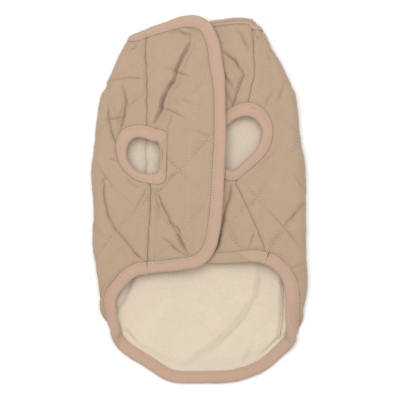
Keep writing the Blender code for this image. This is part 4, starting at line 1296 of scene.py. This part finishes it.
class Look:
    """A cloth material in the making."""

    def __init__(self, name, roughness, sheen):
        self.material = bpy.data.materials.new(name)
        self.material.use_nodes = True
        self.tree = self.material.node_tree
        self.shader = self.tree.nodes["Principled BSDF"]
        self.shader.inputs["Roughness"].default_value = roughness
        self.shader.inputs["Specular IOR Level"].default_value = 0.25
        self.shader.inputs["Sheen Weight"].default_value = sheen
        self.shader.inputs["Sheen Roughness"].default_value = 0.5
        self.place = self.node("ShaderNodeTexCoord").outputs["Object"]

    def put(self, socket, value):
        """Give a socket a value, or link what varies to it."""
        if isinstance(value, Value):
            value = value.socket
        if isinstance(value, bpy.types.NodeSocket):
            self.tree.links.new(value, socket)
        else:
            socket.default_value = value

    def node(self, kind, settings=None, inputs=None):
        """Add a node with its settings and inputs."""
        made = self.tree.nodes.new(kind)
        for key, value in (settings or {}).items():
            setattr(made, key, value)
        for key, value in (inputs or {}).items():
            self.put(made.inputs[key], value)
        return made

    def maths(self, operation, first, second):
        """The result of a sum, product or other operation."""
        made = self.node("ShaderNodeMath", {"operation": operation}, {0: first, 1: second})
        return Value(self, made.outputs[0])

    def noise(self, size, detail=2.0, rough_by=0.5, place=None):
        """Even noise between 0 and 1, with features of about size millimetres."""
        made = self.node("ShaderNodeTexNoise", {"noise_dimensions": "3D"},
                         {"Vector": place or self.place, "Scale": 1.0 / (size * MM), "Detail": detail,
                          "Roughness": rough_by})
        return Value(self, made.outputs["Fac"])

    def stretched(self, scale, turn=0.0):
        """The place on the piece, turned about its height and stretched."""
        made = self.node("ShaderNodeMapping", None,
                         {"Vector": self.place, "Rotation": (0.0, 0.0, turn), "Scale": scale})
        return made.outputs[0]

    def mark(self, name):
        """A value stored on the points of the mesh."""
        made = self.node("ShaderNodeAttribute", {"attribute_name": name})
        return Value(self, made.outputs["Fac"])

    def between(self, share, first, second):
        """A colour between two, by a share from 0 to 1."""
        made = self.node("ShaderNodeMix", {"data_type": "RGBA"}, {"Factor": share})
        self.put(made.inputs[6], first)
        self.put(made.inputs[7], second)
        return made.outputs[2]

    def dimmed(self, colour, share):
        """A colour times a grey value."""
        grey = self.node("ShaderNodeCombineXYZ", None, {0: share, 1: share, 2: share})
        made = self.node("ShaderNodeVectorMath", {"operation": "MULTIPLY"}, {0: colour, 1: grey.outputs[0]})
        return made.outputs[0]

    def finish(self, colour, height, depth):
        """Link the colour, and the height as a bump of depth millimetres."""
        self.put(self.shader.inputs["Base Color"], colour)
        bump = self.node("ShaderNodeBump", None, {"Strength": 1.0, "Distance": depth * MM, "Height": height})
        self.put(self.shader.inputs["Normal"], bump.outputs[0])
        return self.material


def shell_look(colours):
    """Brushed microfibre: soft nap, small weave, and painted shade in its creases, stitched lines, seams and
    beside its bound edges.
    """
    look = Look("brushed_shell_cloth", 0.82, 0.25)
    nap = look.noise(24.0, 3.0) * 0.6 + look.noise(5.0, 3.0) * 0.4
    colour = look.between(nap, colours.shell_deep, colours.shell)
    grain = look.noise(0.55, 2.0)
    fibres = look.noise(1.0, 3.0, 0.6, look.stretched((1.0, 0.28, 1.0), 0.6))
    colour = look.dimmed(colour, 0.90 + 0.12 * grain + 0.08 * fibres)
    # Painted shade from the 'line' mark, in the shell's painted shade colour.
    colour = look.between(look.mark("line") * 0.92, colour, colours.shell_fold_shade)
    return look.finish(colour, 0.5 * grain + 0.5 * fibres, 0.12)


def fleece_look(colours):
    """Fleece: short curled pile that catches the light."""
    look = Look("fleece", 0.92, 0.5)
    tufts = look.noise(2.6, 4.0, 0.6)
    broad = look.noise(17.0, 2.0)
    colour = look.between(tufts, colours.fleece_deep, colours.fleece)
    colour = look.dimmed(colour, 0.95 + 0.08 * broad)
    # Painted shade in the fleece's folds, from its 'line' mark.
    colour = look.between(look.mark("line") * 0.7, colour, colours.fleece_fold_shade)
    return look.finish(colour, tufts * 0.8 + look.noise(0.8, 2.0) * 0.2, 0.7)


def tape_look(colours, pitch):
    """Ribbed stretch tape: fine ribs across its length, with painted shade between them, and a finer knit on
    them.
    """
    look = Look("ribbed_tape", 0.78, 0.3)
    plan = look.node("ShaderNodeUVMap", {"uv_map": "plan"}).outputs[0]
    parts = look.node("ShaderNodeSeparateXYZ", None, {0: plan})
    here = Value(look, parts.outputs[0])
    wander = look.noise(6.0, 2.0, 0.5, plan) * 0.0005
    ribs_shown = look.noise(26.0, 2.0, 0.5, plan)
    rib = look.maths("SINE", (here + wander) * (2.0 * math.pi / pitch), 0.0) * (0.9 * ribs_shown - 0.1) + 0.5
    knit = look.noise(0.5, 2.0, 0.6, plan)
    broad = look.noise(14.0, 2.0, 0.5, plan)
    # Painted shade between the ribs, where the ribs show; the same ribs are also bumped.
    colour = look.between(rib, colours.tape_deep, colours.tape)
    colour = look.dimmed(colour, 0.90 + 0.1 * knit + 0.1 * broad)
    # Painted shade along the stitched line, from the 'sewn' mark.
    colour = look.between(look.mark("sewn") * 0.3, colour, colours.tape_sewn_shade)
    nap = look.noise(24.0, 3.0)
    turned = look.mark("turned")
    colour = look.between(turned, colour, look.between(nap, colours.shell_deep, colours.shell))
    return look.finish(colour, (rib * 0.75) * (1.0 - turned) + knit * 0.25, 0.16)


def thread_look(name, deep, lit):
    """Soft twisted thread."""
    look = Look(name, 0.7, 0.2)
    strand = look.noise(0.5, 2.0, 0.5, look.stretched((1.0, 1.0, 1.0), 0.8))
    colour = look.between(strand, deep, lit)
    return look.finish(colour, strand, 0.1)


def fastener_look(colours):
    """Hook and loop tape: close rows of small loops."""
    look = Look("fastener_tape", 0.9, 0.4)
    loops = look.noise(0.9, 3.0, 0.7)
    colour = look.between(loops, colours.tape_deep, colours.fleece)
    return look.finish(colour, loops, 0.5)


@functools.lru_cache(maxsize=None)
def look_of(kind):
    """The material of a kind, made once."""
    scene = bpy.context.scene
    colours = scene.coat_colours
    if kind == "tape":
        return tape_look(colours, scene.coat_tape.pitch)
    if kind == "thread":
        return thread_look("thread", colours.thread_deep, colours.thread)
    if kind == "dark_thread":
        # The dark thread is coloured with the painted shade colours of the cloth and the tape.
        return thread_look("dark_thread", colours.shell_fold_shade, colours.tape_sewn_shade)
    return {"shell": shell_look, "fleece": fleece_look, "fastener": fastener_look}[kind](colours)


# ---- settings -------------------------------------------------------------------------------------

def length(name, default, description):
    """A length setting, in metres."""
    return bpy.props.FloatProperty(name=name, description=description, default=default, min=0.0,
                                   precision=5, subtype="DISTANCE", unit="LENGTH")


def colour(name, red, green, blue, description):
    """A colour setting, given in display values from 0 to 255."""
    linear = [((part / 255.0 + 0.055) / 1.055) ** 2.4 for part in (red, green, blue)]
    return bpy.props.FloatVectorProperty(name=name, description=description, default=(*linear, 1.0), size=4,
                                         min=0.0, max=1.0, subtype="COLOR")


class CoatCloth(bpy.types.PropertyGroup):
    """How the padded cloth stands up and folds."""
    puff: length("Puff", 0.0016, "How far the middle of a diamond stands over its stitched lines")
    pucker: length("Pucker", 0.00032, "Height of the small gathers beside a stitched line")
    waves: length("Waves", 0.0012, "Height of the broad unevenness of the cloth")
    crease: bpy.props.FloatProperty(name="Creases", description="Depth of the pressed creases", default=1.0,
                                    min=0.0, max=2.0, subtype="FACTOR")
    shell_wall: length("Shell", 0.0006, "Thickness of the outer cloth of the back")
    front_wall: length("Front", 0.0022, "Thickness of a front with its fleece")
    lining_wall: length("Fleece", 0.0009, "Thickness of the fleece")


class CoatTape(bpy.types.PropertyGroup):
    """The ribbed tape that binds the edges."""
    over: length("Over", 0.0015, "Height of the tape over the outer cloth")
    under: length("Under", 0.0015, "Height of the tape under the inner cloth")
    rib: length("Rib height", 0.00005, "Height of a rib")
    pitch: length("Rib pitch", 0.0021, "Distance between ribs")


class CoatColours(bpy.types.PropertyGroup):
    """Colours of the coat, with the painted shade of its folds, seams and stitched lines."""
    shell: colour("Shell", 167, 146, 124, "Outer cloth where its nap catches the light")
    shell_deep: colour("Shell, deeper", 157, 135, 113, "Outer cloth where its nap lies away")
    # Painted shade of the outer cloth in its creases, stitched lines, seams and beside its bound edges.
    shell_fold_shade: colour("Shell fold", 96, 69, 48, "Outer cloth in a fold or a stitched line")
    # Painted shade of the fleece in its folds.
    fleece: colour("Fleece", 205, 194, 177, "Top of the pile")
    fleece_fold_shade: colour("Fleece fold", 122, 100, 76, "Fleece in a sharp fold")
    fleece_deep: colour("Fleece, deeper", 193, 178, 158, "Between the tufts")
    tape: colour("Tape", 179, 152, 134, "Top of a rib")
    # Painted shade between the ribs of the tape; also the darker loops of the fastener.
    tape_deep: colour("Tape, deeper", 166, 138, 119, "Between the ribs")
    # Painted shade along the tape's stitched line.
    tape_sewn_shade: colour("Tape fold", 134, 107, 88, "Where the tape is sewn down")
    thread: colour("Thread", 197, 179, 156, "Lit side of the thread")
    thread_deep: colour("Thread, deeper", 182, 161, 136, "Between its strands")


class CoatStage(bpy.types.PropertyGroup):
    """Floor, light and camera."""
    height: length("Camera height", 3.0, "Height of the camera over the floor")
    seen: length("Seen width", 0.428, "Width of floor that the camera sees")
    sky: bpy.props.FloatProperty(name="Sky", description="Strength of the even light", default=0.66, min=0.0)
    lamp: bpy.props.FloatProperty(name="Lamp", description="Power of the soft box", default=22.0, min=0.0,
                                  unit="POWER")


# ---- operators ------------------------------------------------------------------------------------


class COAT_OT_back(bpy.types.Operator):
    """Make the quilted back panel, which lies on the surface and wraps up round both sides"""
    bl_idname = "coat.back"
    bl_label = "Back Panel"

    def execute(self, context):
        cloth = context.scene.coat_cloth
        points, _, _, dark = back_cloth(relief_of(cloth), SHELL_COLUMNS)
        plain, _, neck, hem = back_plan(SHELL_COLUMNS)
        whole = into_tape(points, tape_ways(neck), tape_ways(hem))
        # The 'line' mark is the painted shade of the cloth's creases, stitched lines, seams and bound edges.
        mesh = sheet_mesh("quilted_back", whole, {"line": carried(dark)})
        piece = place_piece(mesh, "quilted_back", [look_of("shell")], ["back_panel"])
        give_wall(piece, cloth.shell_wall / MM)
        return {"FINISHED"}


class COAT_OT_lining(bpy.types.Operator):
    """Make the fleece that lines the back panel, with its soft folds"""
    bl_idname = "coat.lining"
    bl_label = "Fleece Lining"

    def execute(self, context):
        cloth = context.scene.coat_cloth
        points, dark = lining_cloth(relief_of(cloth), cloth.shell_wall / MM)
        flat, _, neck, hem = back_plan(FLEECE_COLUMNS)
        whole = into_tape(points, tape_ways(neck), tape_ways(hem))[:, 1:-1]
        # The 'line' mark is the painted shade of the fleece's folds.
        shade = carried(dark)[:, 1:-1]
        mesh = sheet_mesh("fleece_lining", whole, {"line": shade})
        piece = place_piece(mesh, "fleece_lining", [look_of("fleece")], ["back_lining"])
        give_wall(piece, cloth.lining_wall / MM)
        return {"FINISHED"}


class COAT_OT_fronts(bpy.types.Operator):
    """Make the two fronts: the flap, and the front that it covers"""
    bl_idname = "coat.fronts"
    bl_label = "Fronts"

    def execute(self, context):
        cloth = context.scene.coat_cloth
        for right, name, below in ((True, "right_front", "fleece_lining"),
                                   (False, "left_front", "right_front")):
            points, _, dark, ways = front_cloth(right, relief_of(cloth))
            top, side, bottom = (way * TAPE_REACH for way in ways)
            whole = into_tape(points, top, bottom, side)
            # The 'line' mark is the painted shade of the front, carried into its tape.
            shade = carried(np.concatenate((dark, dark[:, -1:]), axis=1))
            mesh = sheet_mesh(name, whole, {"line": shade}, right)
            piece = place_piece(mesh, name, [look_of("shell"), look_of("fleece")],
                                [name + "_panel"])
            give_wall(piece, cloth.front_wall / MM, inner_look=True)
            front_plan(right)[0]
        return {"FINISHED"}


class COAT_OT_bindings(bpy.types.Operator):
    """Make the ribbed tape round the neck, the hem, both fronts and both leg holes"""
    bl_idname = "coat.bindings"
    bl_label = "Bindings"

    def execute(self, context):
        tape = context.scene.coat_tape
        for seed, (name, edge, panel) in enumerate(bound_edges()):
            mesh = tape_mesh(name, edge, FRONT, tape, 30.0 + 3.0 * seed)
            piece = place_piece(mesh, name + "_tape", [look_of("tape")], [name + "_binding"])
        return {"FINISHED"}


class COAT_OT_closure(bpy.types.Operator):
    """Give the hook and loop strips between the fronts their cloth"""
    bl_idname = "coat.closure"
    bl_label = "Closure Strips"

    def execute(self, context):
        for name in ("closure_hook_strip", "closure_loop_strip"):
            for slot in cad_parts[name].material_slots:
                slot.material = look_of("fastener")
        return {"FINISHED"}


class COAT_OT_stitching(bpy.types.Operator):
    """Sew the quilting, the bound edges and the closure"""
    bl_idname = "coat.stitching"
    bl_label = "Stitching"

    def execute(self, context):
        relief = relief_of(context.scene.coat_cloth)
        self.sew_back(relief)
        for right, name in ((False, "left"), (True, "right")):
            self.sew_front(right, name + "_front_stitches", relief)
        self.sew_flap(relief)
        self.sew_tape(context.scene.coat_tape)
        return {"FINISHED"}

    def sew_back(self, relief):
        """Quilt the back, where the diamonds show."""
        points, normals, _, _ = back_cloth(relief, SHELL_COLUMNS)
        plain, around, _, _ = back_plan(SHELL_COLUMNS)
        points = np.concatenate((points[..., :2], np.maximum(points[..., 2:], THREAD_REST)), axis=-1)
        edges = [hem_edge(), neck_edge(), hole_edge(False), hole_edge(True)]
        keep = clear_of(points, edges, QUILTED_FROM, (False, True))
        keep &= sewn_share("back", around, plain[..., 1]) > 0.2
        lines = quilting_lines("back", points, normals, around, plain[..., 1], keep)
        self.sew("back_stitches", "quilted_shell", "thread", lines, "quilting", 1.0)

    def sew_front(self, right, piece, relief):
        """Quilt a front, where the diamonds show."""
        points, normals, _, _ = front_cloth(right, relief)
        plain, _ = front_plan(right)
        kind = "under" if right else "flap"
        keep = clear_of(points, [front_edge(right), hole_edge(right)], QUILTED_FROM, (right,))
        keep &= sewn_share(kind, plain[..., 0], plain[..., 1]) > 0.12
        lines = quilting_lines(kind, points, normals, plain[..., 0], plain[..., 1], keep)
        self.sew(piece, "quilted_shell", "thread", lines, "quilting", 2.0)

    def sew_flap(self, relief):
        """Sew the fastener to the flap, and the flap's cloth over the tape of its leg hole."""
        points, normals, _, _ = front_cloth(False, relief)
        lines = [on_cloth(line, points, normals) for line in CLOSURE_LINES]
        self.sew("closure_stitches", "quilted_shell", "thread", lines, "closure", 3.0)
        lines = [on_cloth(HOLE_STITCHES, points + normals * 0.3, normals)]
        self.sew("leg_hole_stitches", "quilted_shell", "dark_thread", lines, "hole", 5.0)

    def sew_tape(self, tape):
        """Sew down both faces of every tape, but not the outer one where cloth is turned over it."""
        lines = []
        for name, edge, _ in bound_edges():
            shown = np.array([turned_share(name, x, y, 0.1) < 0.5 for x, y, _ in edge["sewn"]])
            stops = np.flatnonzero(np.diff(shown.astype(int))) + 1
            for up, sign in ((tape.over / MM - 0.32, 1.0), (-FRONT - tape.under / MM + 0.32, -1.0)):
                line = edge["sewn"] + edge["free"] * TAPE_STITCH_OUT + edge["normal"] * up
                line[:, 2] = np.maximum(line[:, 2], 0.4)
                for part, kept, way in zip(np.split(line, stops), np.split(shown, stops),
                                           np.split(edge["normal"] * sign, stops)):
                    if sign < 0.0 or kept[0]:
                        lines.append((part, way))
        self.sew("tape_stitches", "binding_tape", "thread", lines, "tape", 4.0)

    def sew(self, name, slot, thread, lines, kind, seed):
        """Make one piece of all the stitches along some lines, in a thread."""
        pitch, size, width = STITCHES[kind]
        places = [place for points, normals in lines for place in stitch_places(points, normals, pitch, size)]
        place_piece(stitches_mesh(name, places, size, width, seed), name, [look_of(thread)])


def make_floor(scene):
    """A wide pale floor, just under the coat."""
    plane = bmesh.new()
    bmesh.ops.create_grid(plane, x_segments=8, y_segments=8, size=6.0)
    bmesh.ops.translate(plane, verts=plane.verts[:], vec=(0.0, 0.0, -0.0002))
    mesh = bpy.data.meshes.new("floor")
    plane.to_mesh(mesh)
    plane.free()
    floor = bpy.data.objects.new("floor", mesh)
    scene.collection.objects.link(floor)
    look = Look("pale_floor", 0.9, 0.0)
    mottle = look.noise(60.0, 2.0)
    pale = look.dimmed((0.92, 0.92, 0.92), 0.99 + 0.01 * mottle)
    mesh.materials.append(look.finish(pale, mottle, 0.01))


def make_light(scene, stage):
    """Even light from all round, and a soft box above the coat, beyond its neck."""
    world = bpy.data.worlds.new("even_light")
    world.use_nodes = True
    world.node_tree.nodes["Background"].inputs["Color"].default_value = (1.0, 0.99, 0.975, 1.0)
    world.node_tree.nodes["Background"].inputs["Strength"].default_value = stage.sky
    scene.world = world
    lamp = bpy.data.lights.new("soft_box", "AREA")
    lamp.shape = "RECTANGLE"
    lamp.size, lamp.size_y = 1.5, 1.2
    lamp.energy = stage.lamp
    lamp.color = (1.0, 0.985, 0.965)
    holder = bpy.data.objects.new("soft_box", lamp)
    holder.location = (-0.14, 0.3, 1.5)
    holder.rotation_euler = (-holder.location).to_track_quat("-Z", "Y").to_euler()
    scene.collection.objects.link(holder)


def make_camera(scene, stage):
    """A camera straight overhead that sees the whole coat."""
    camera = bpy.data.cameras.new("overhead")
    camera.sensor_fit = "HORIZONTAL"
    camera.angle = 2.0 * math.atan(stage.seen / 2.0 / stage.height)
    camera.clip_start, camera.clip_end = 0.05, 20.0
    eye = bpy.data.objects.new("overhead", camera)
    eye.location = (0.00107, -0.0005, stage.height)
    scene.collection.objects.link(eye)
    scene.camera = eye
    scene.view_settings.view_transform = "Standard"
    scene.view_settings.look = "None"


class COAT_OT_stage(bpy.types.Operator):
    """Make the floor, the soft light and the camera straight overhead"""
    bl_idname = "coat.stage"
    bl_label = "Stage"

    def execute(self, context):
        scene = context.scene
        make_floor(scene)
        make_light(scene, scene.coat_stage)
        make_camera(scene, scene.coat_stage)
        return {"FINISHED"}


class COAT_PT_panel(bpy.types.Panel):
    """Settings of the coat, and a button for each of its parts"""
    bl_idname = "COAT_PT_panel"
    bl_label = "Quilted Coat"
    bl_space_type = "VIEW_3D"
    bl_region_type = "UI"
    bl_category = "Coat"

    def draw(self, context):
        for name in SETTINGS:
            box = self.layout.box()
            group = getattr(context.scene, name)
            for key in group.bl_rna.properties.keys():
                if key not in ("rna_type", "name"):
                    box.prop(group, key)
        for maker in MAKERS:
            self.layout.operator(maker.bl_idname)


SETTINGS = {"coat_cloth": CoatCloth, "coat_tape": CoatTape, "coat_colours": CoatColours,
            "coat_stage": CoatStage}
MAKERS = (COAT_OT_back, COAT_OT_lining, COAT_OT_fronts, COAT_OT_bindings, COAT_OT_closure,
          COAT_OT_stitching, COAT_OT_stage)


def bound_edges():
    """Every bound edge: its name, its stations and the panel that it binds."""
    return (("left_front", front_edge(False), "left_front"),
            ("right_front", front_edge(True), "right_front"),
            ("back_neck", neck_edge(), "quilted_back"),
            ("back_hem", hem_edge(), "quilted_back"),
            ("left_armhole", hole_edge(False), "left_front"),
            ("right_armhole", hole_edge(True), "right_front"))


def register():
    """Register the settings, the operators and the panel."""
    for name, group in SETTINGS.items():
        bpy.utils.register_class(group)
        setattr(bpy.types.Scene, name, bpy.props.PointerProperty(type=group))
    for kind in (*MAKERS, COAT_PT_panel):
        bpy.utils.register_class(kind)


def unregister():
    """Remove the settings, the operators and the panel."""
    for kind in reversed((*MAKERS, COAT_PT_panel)):
        bpy.utils.unregister_class(kind)
    for name, group in SETTINGS.items():
        delattr(bpy.types.Scene, name)
        bpy.utils.unregister_class(group)


def main():
    """Make the coat and its stage."""
    register()
    for maker in MAKERS:
        group, name = maker.bl_idname.split(".")
        getattr(getattr(bpy.ops, group), name)()


if __name__ == "__main__":
    main()
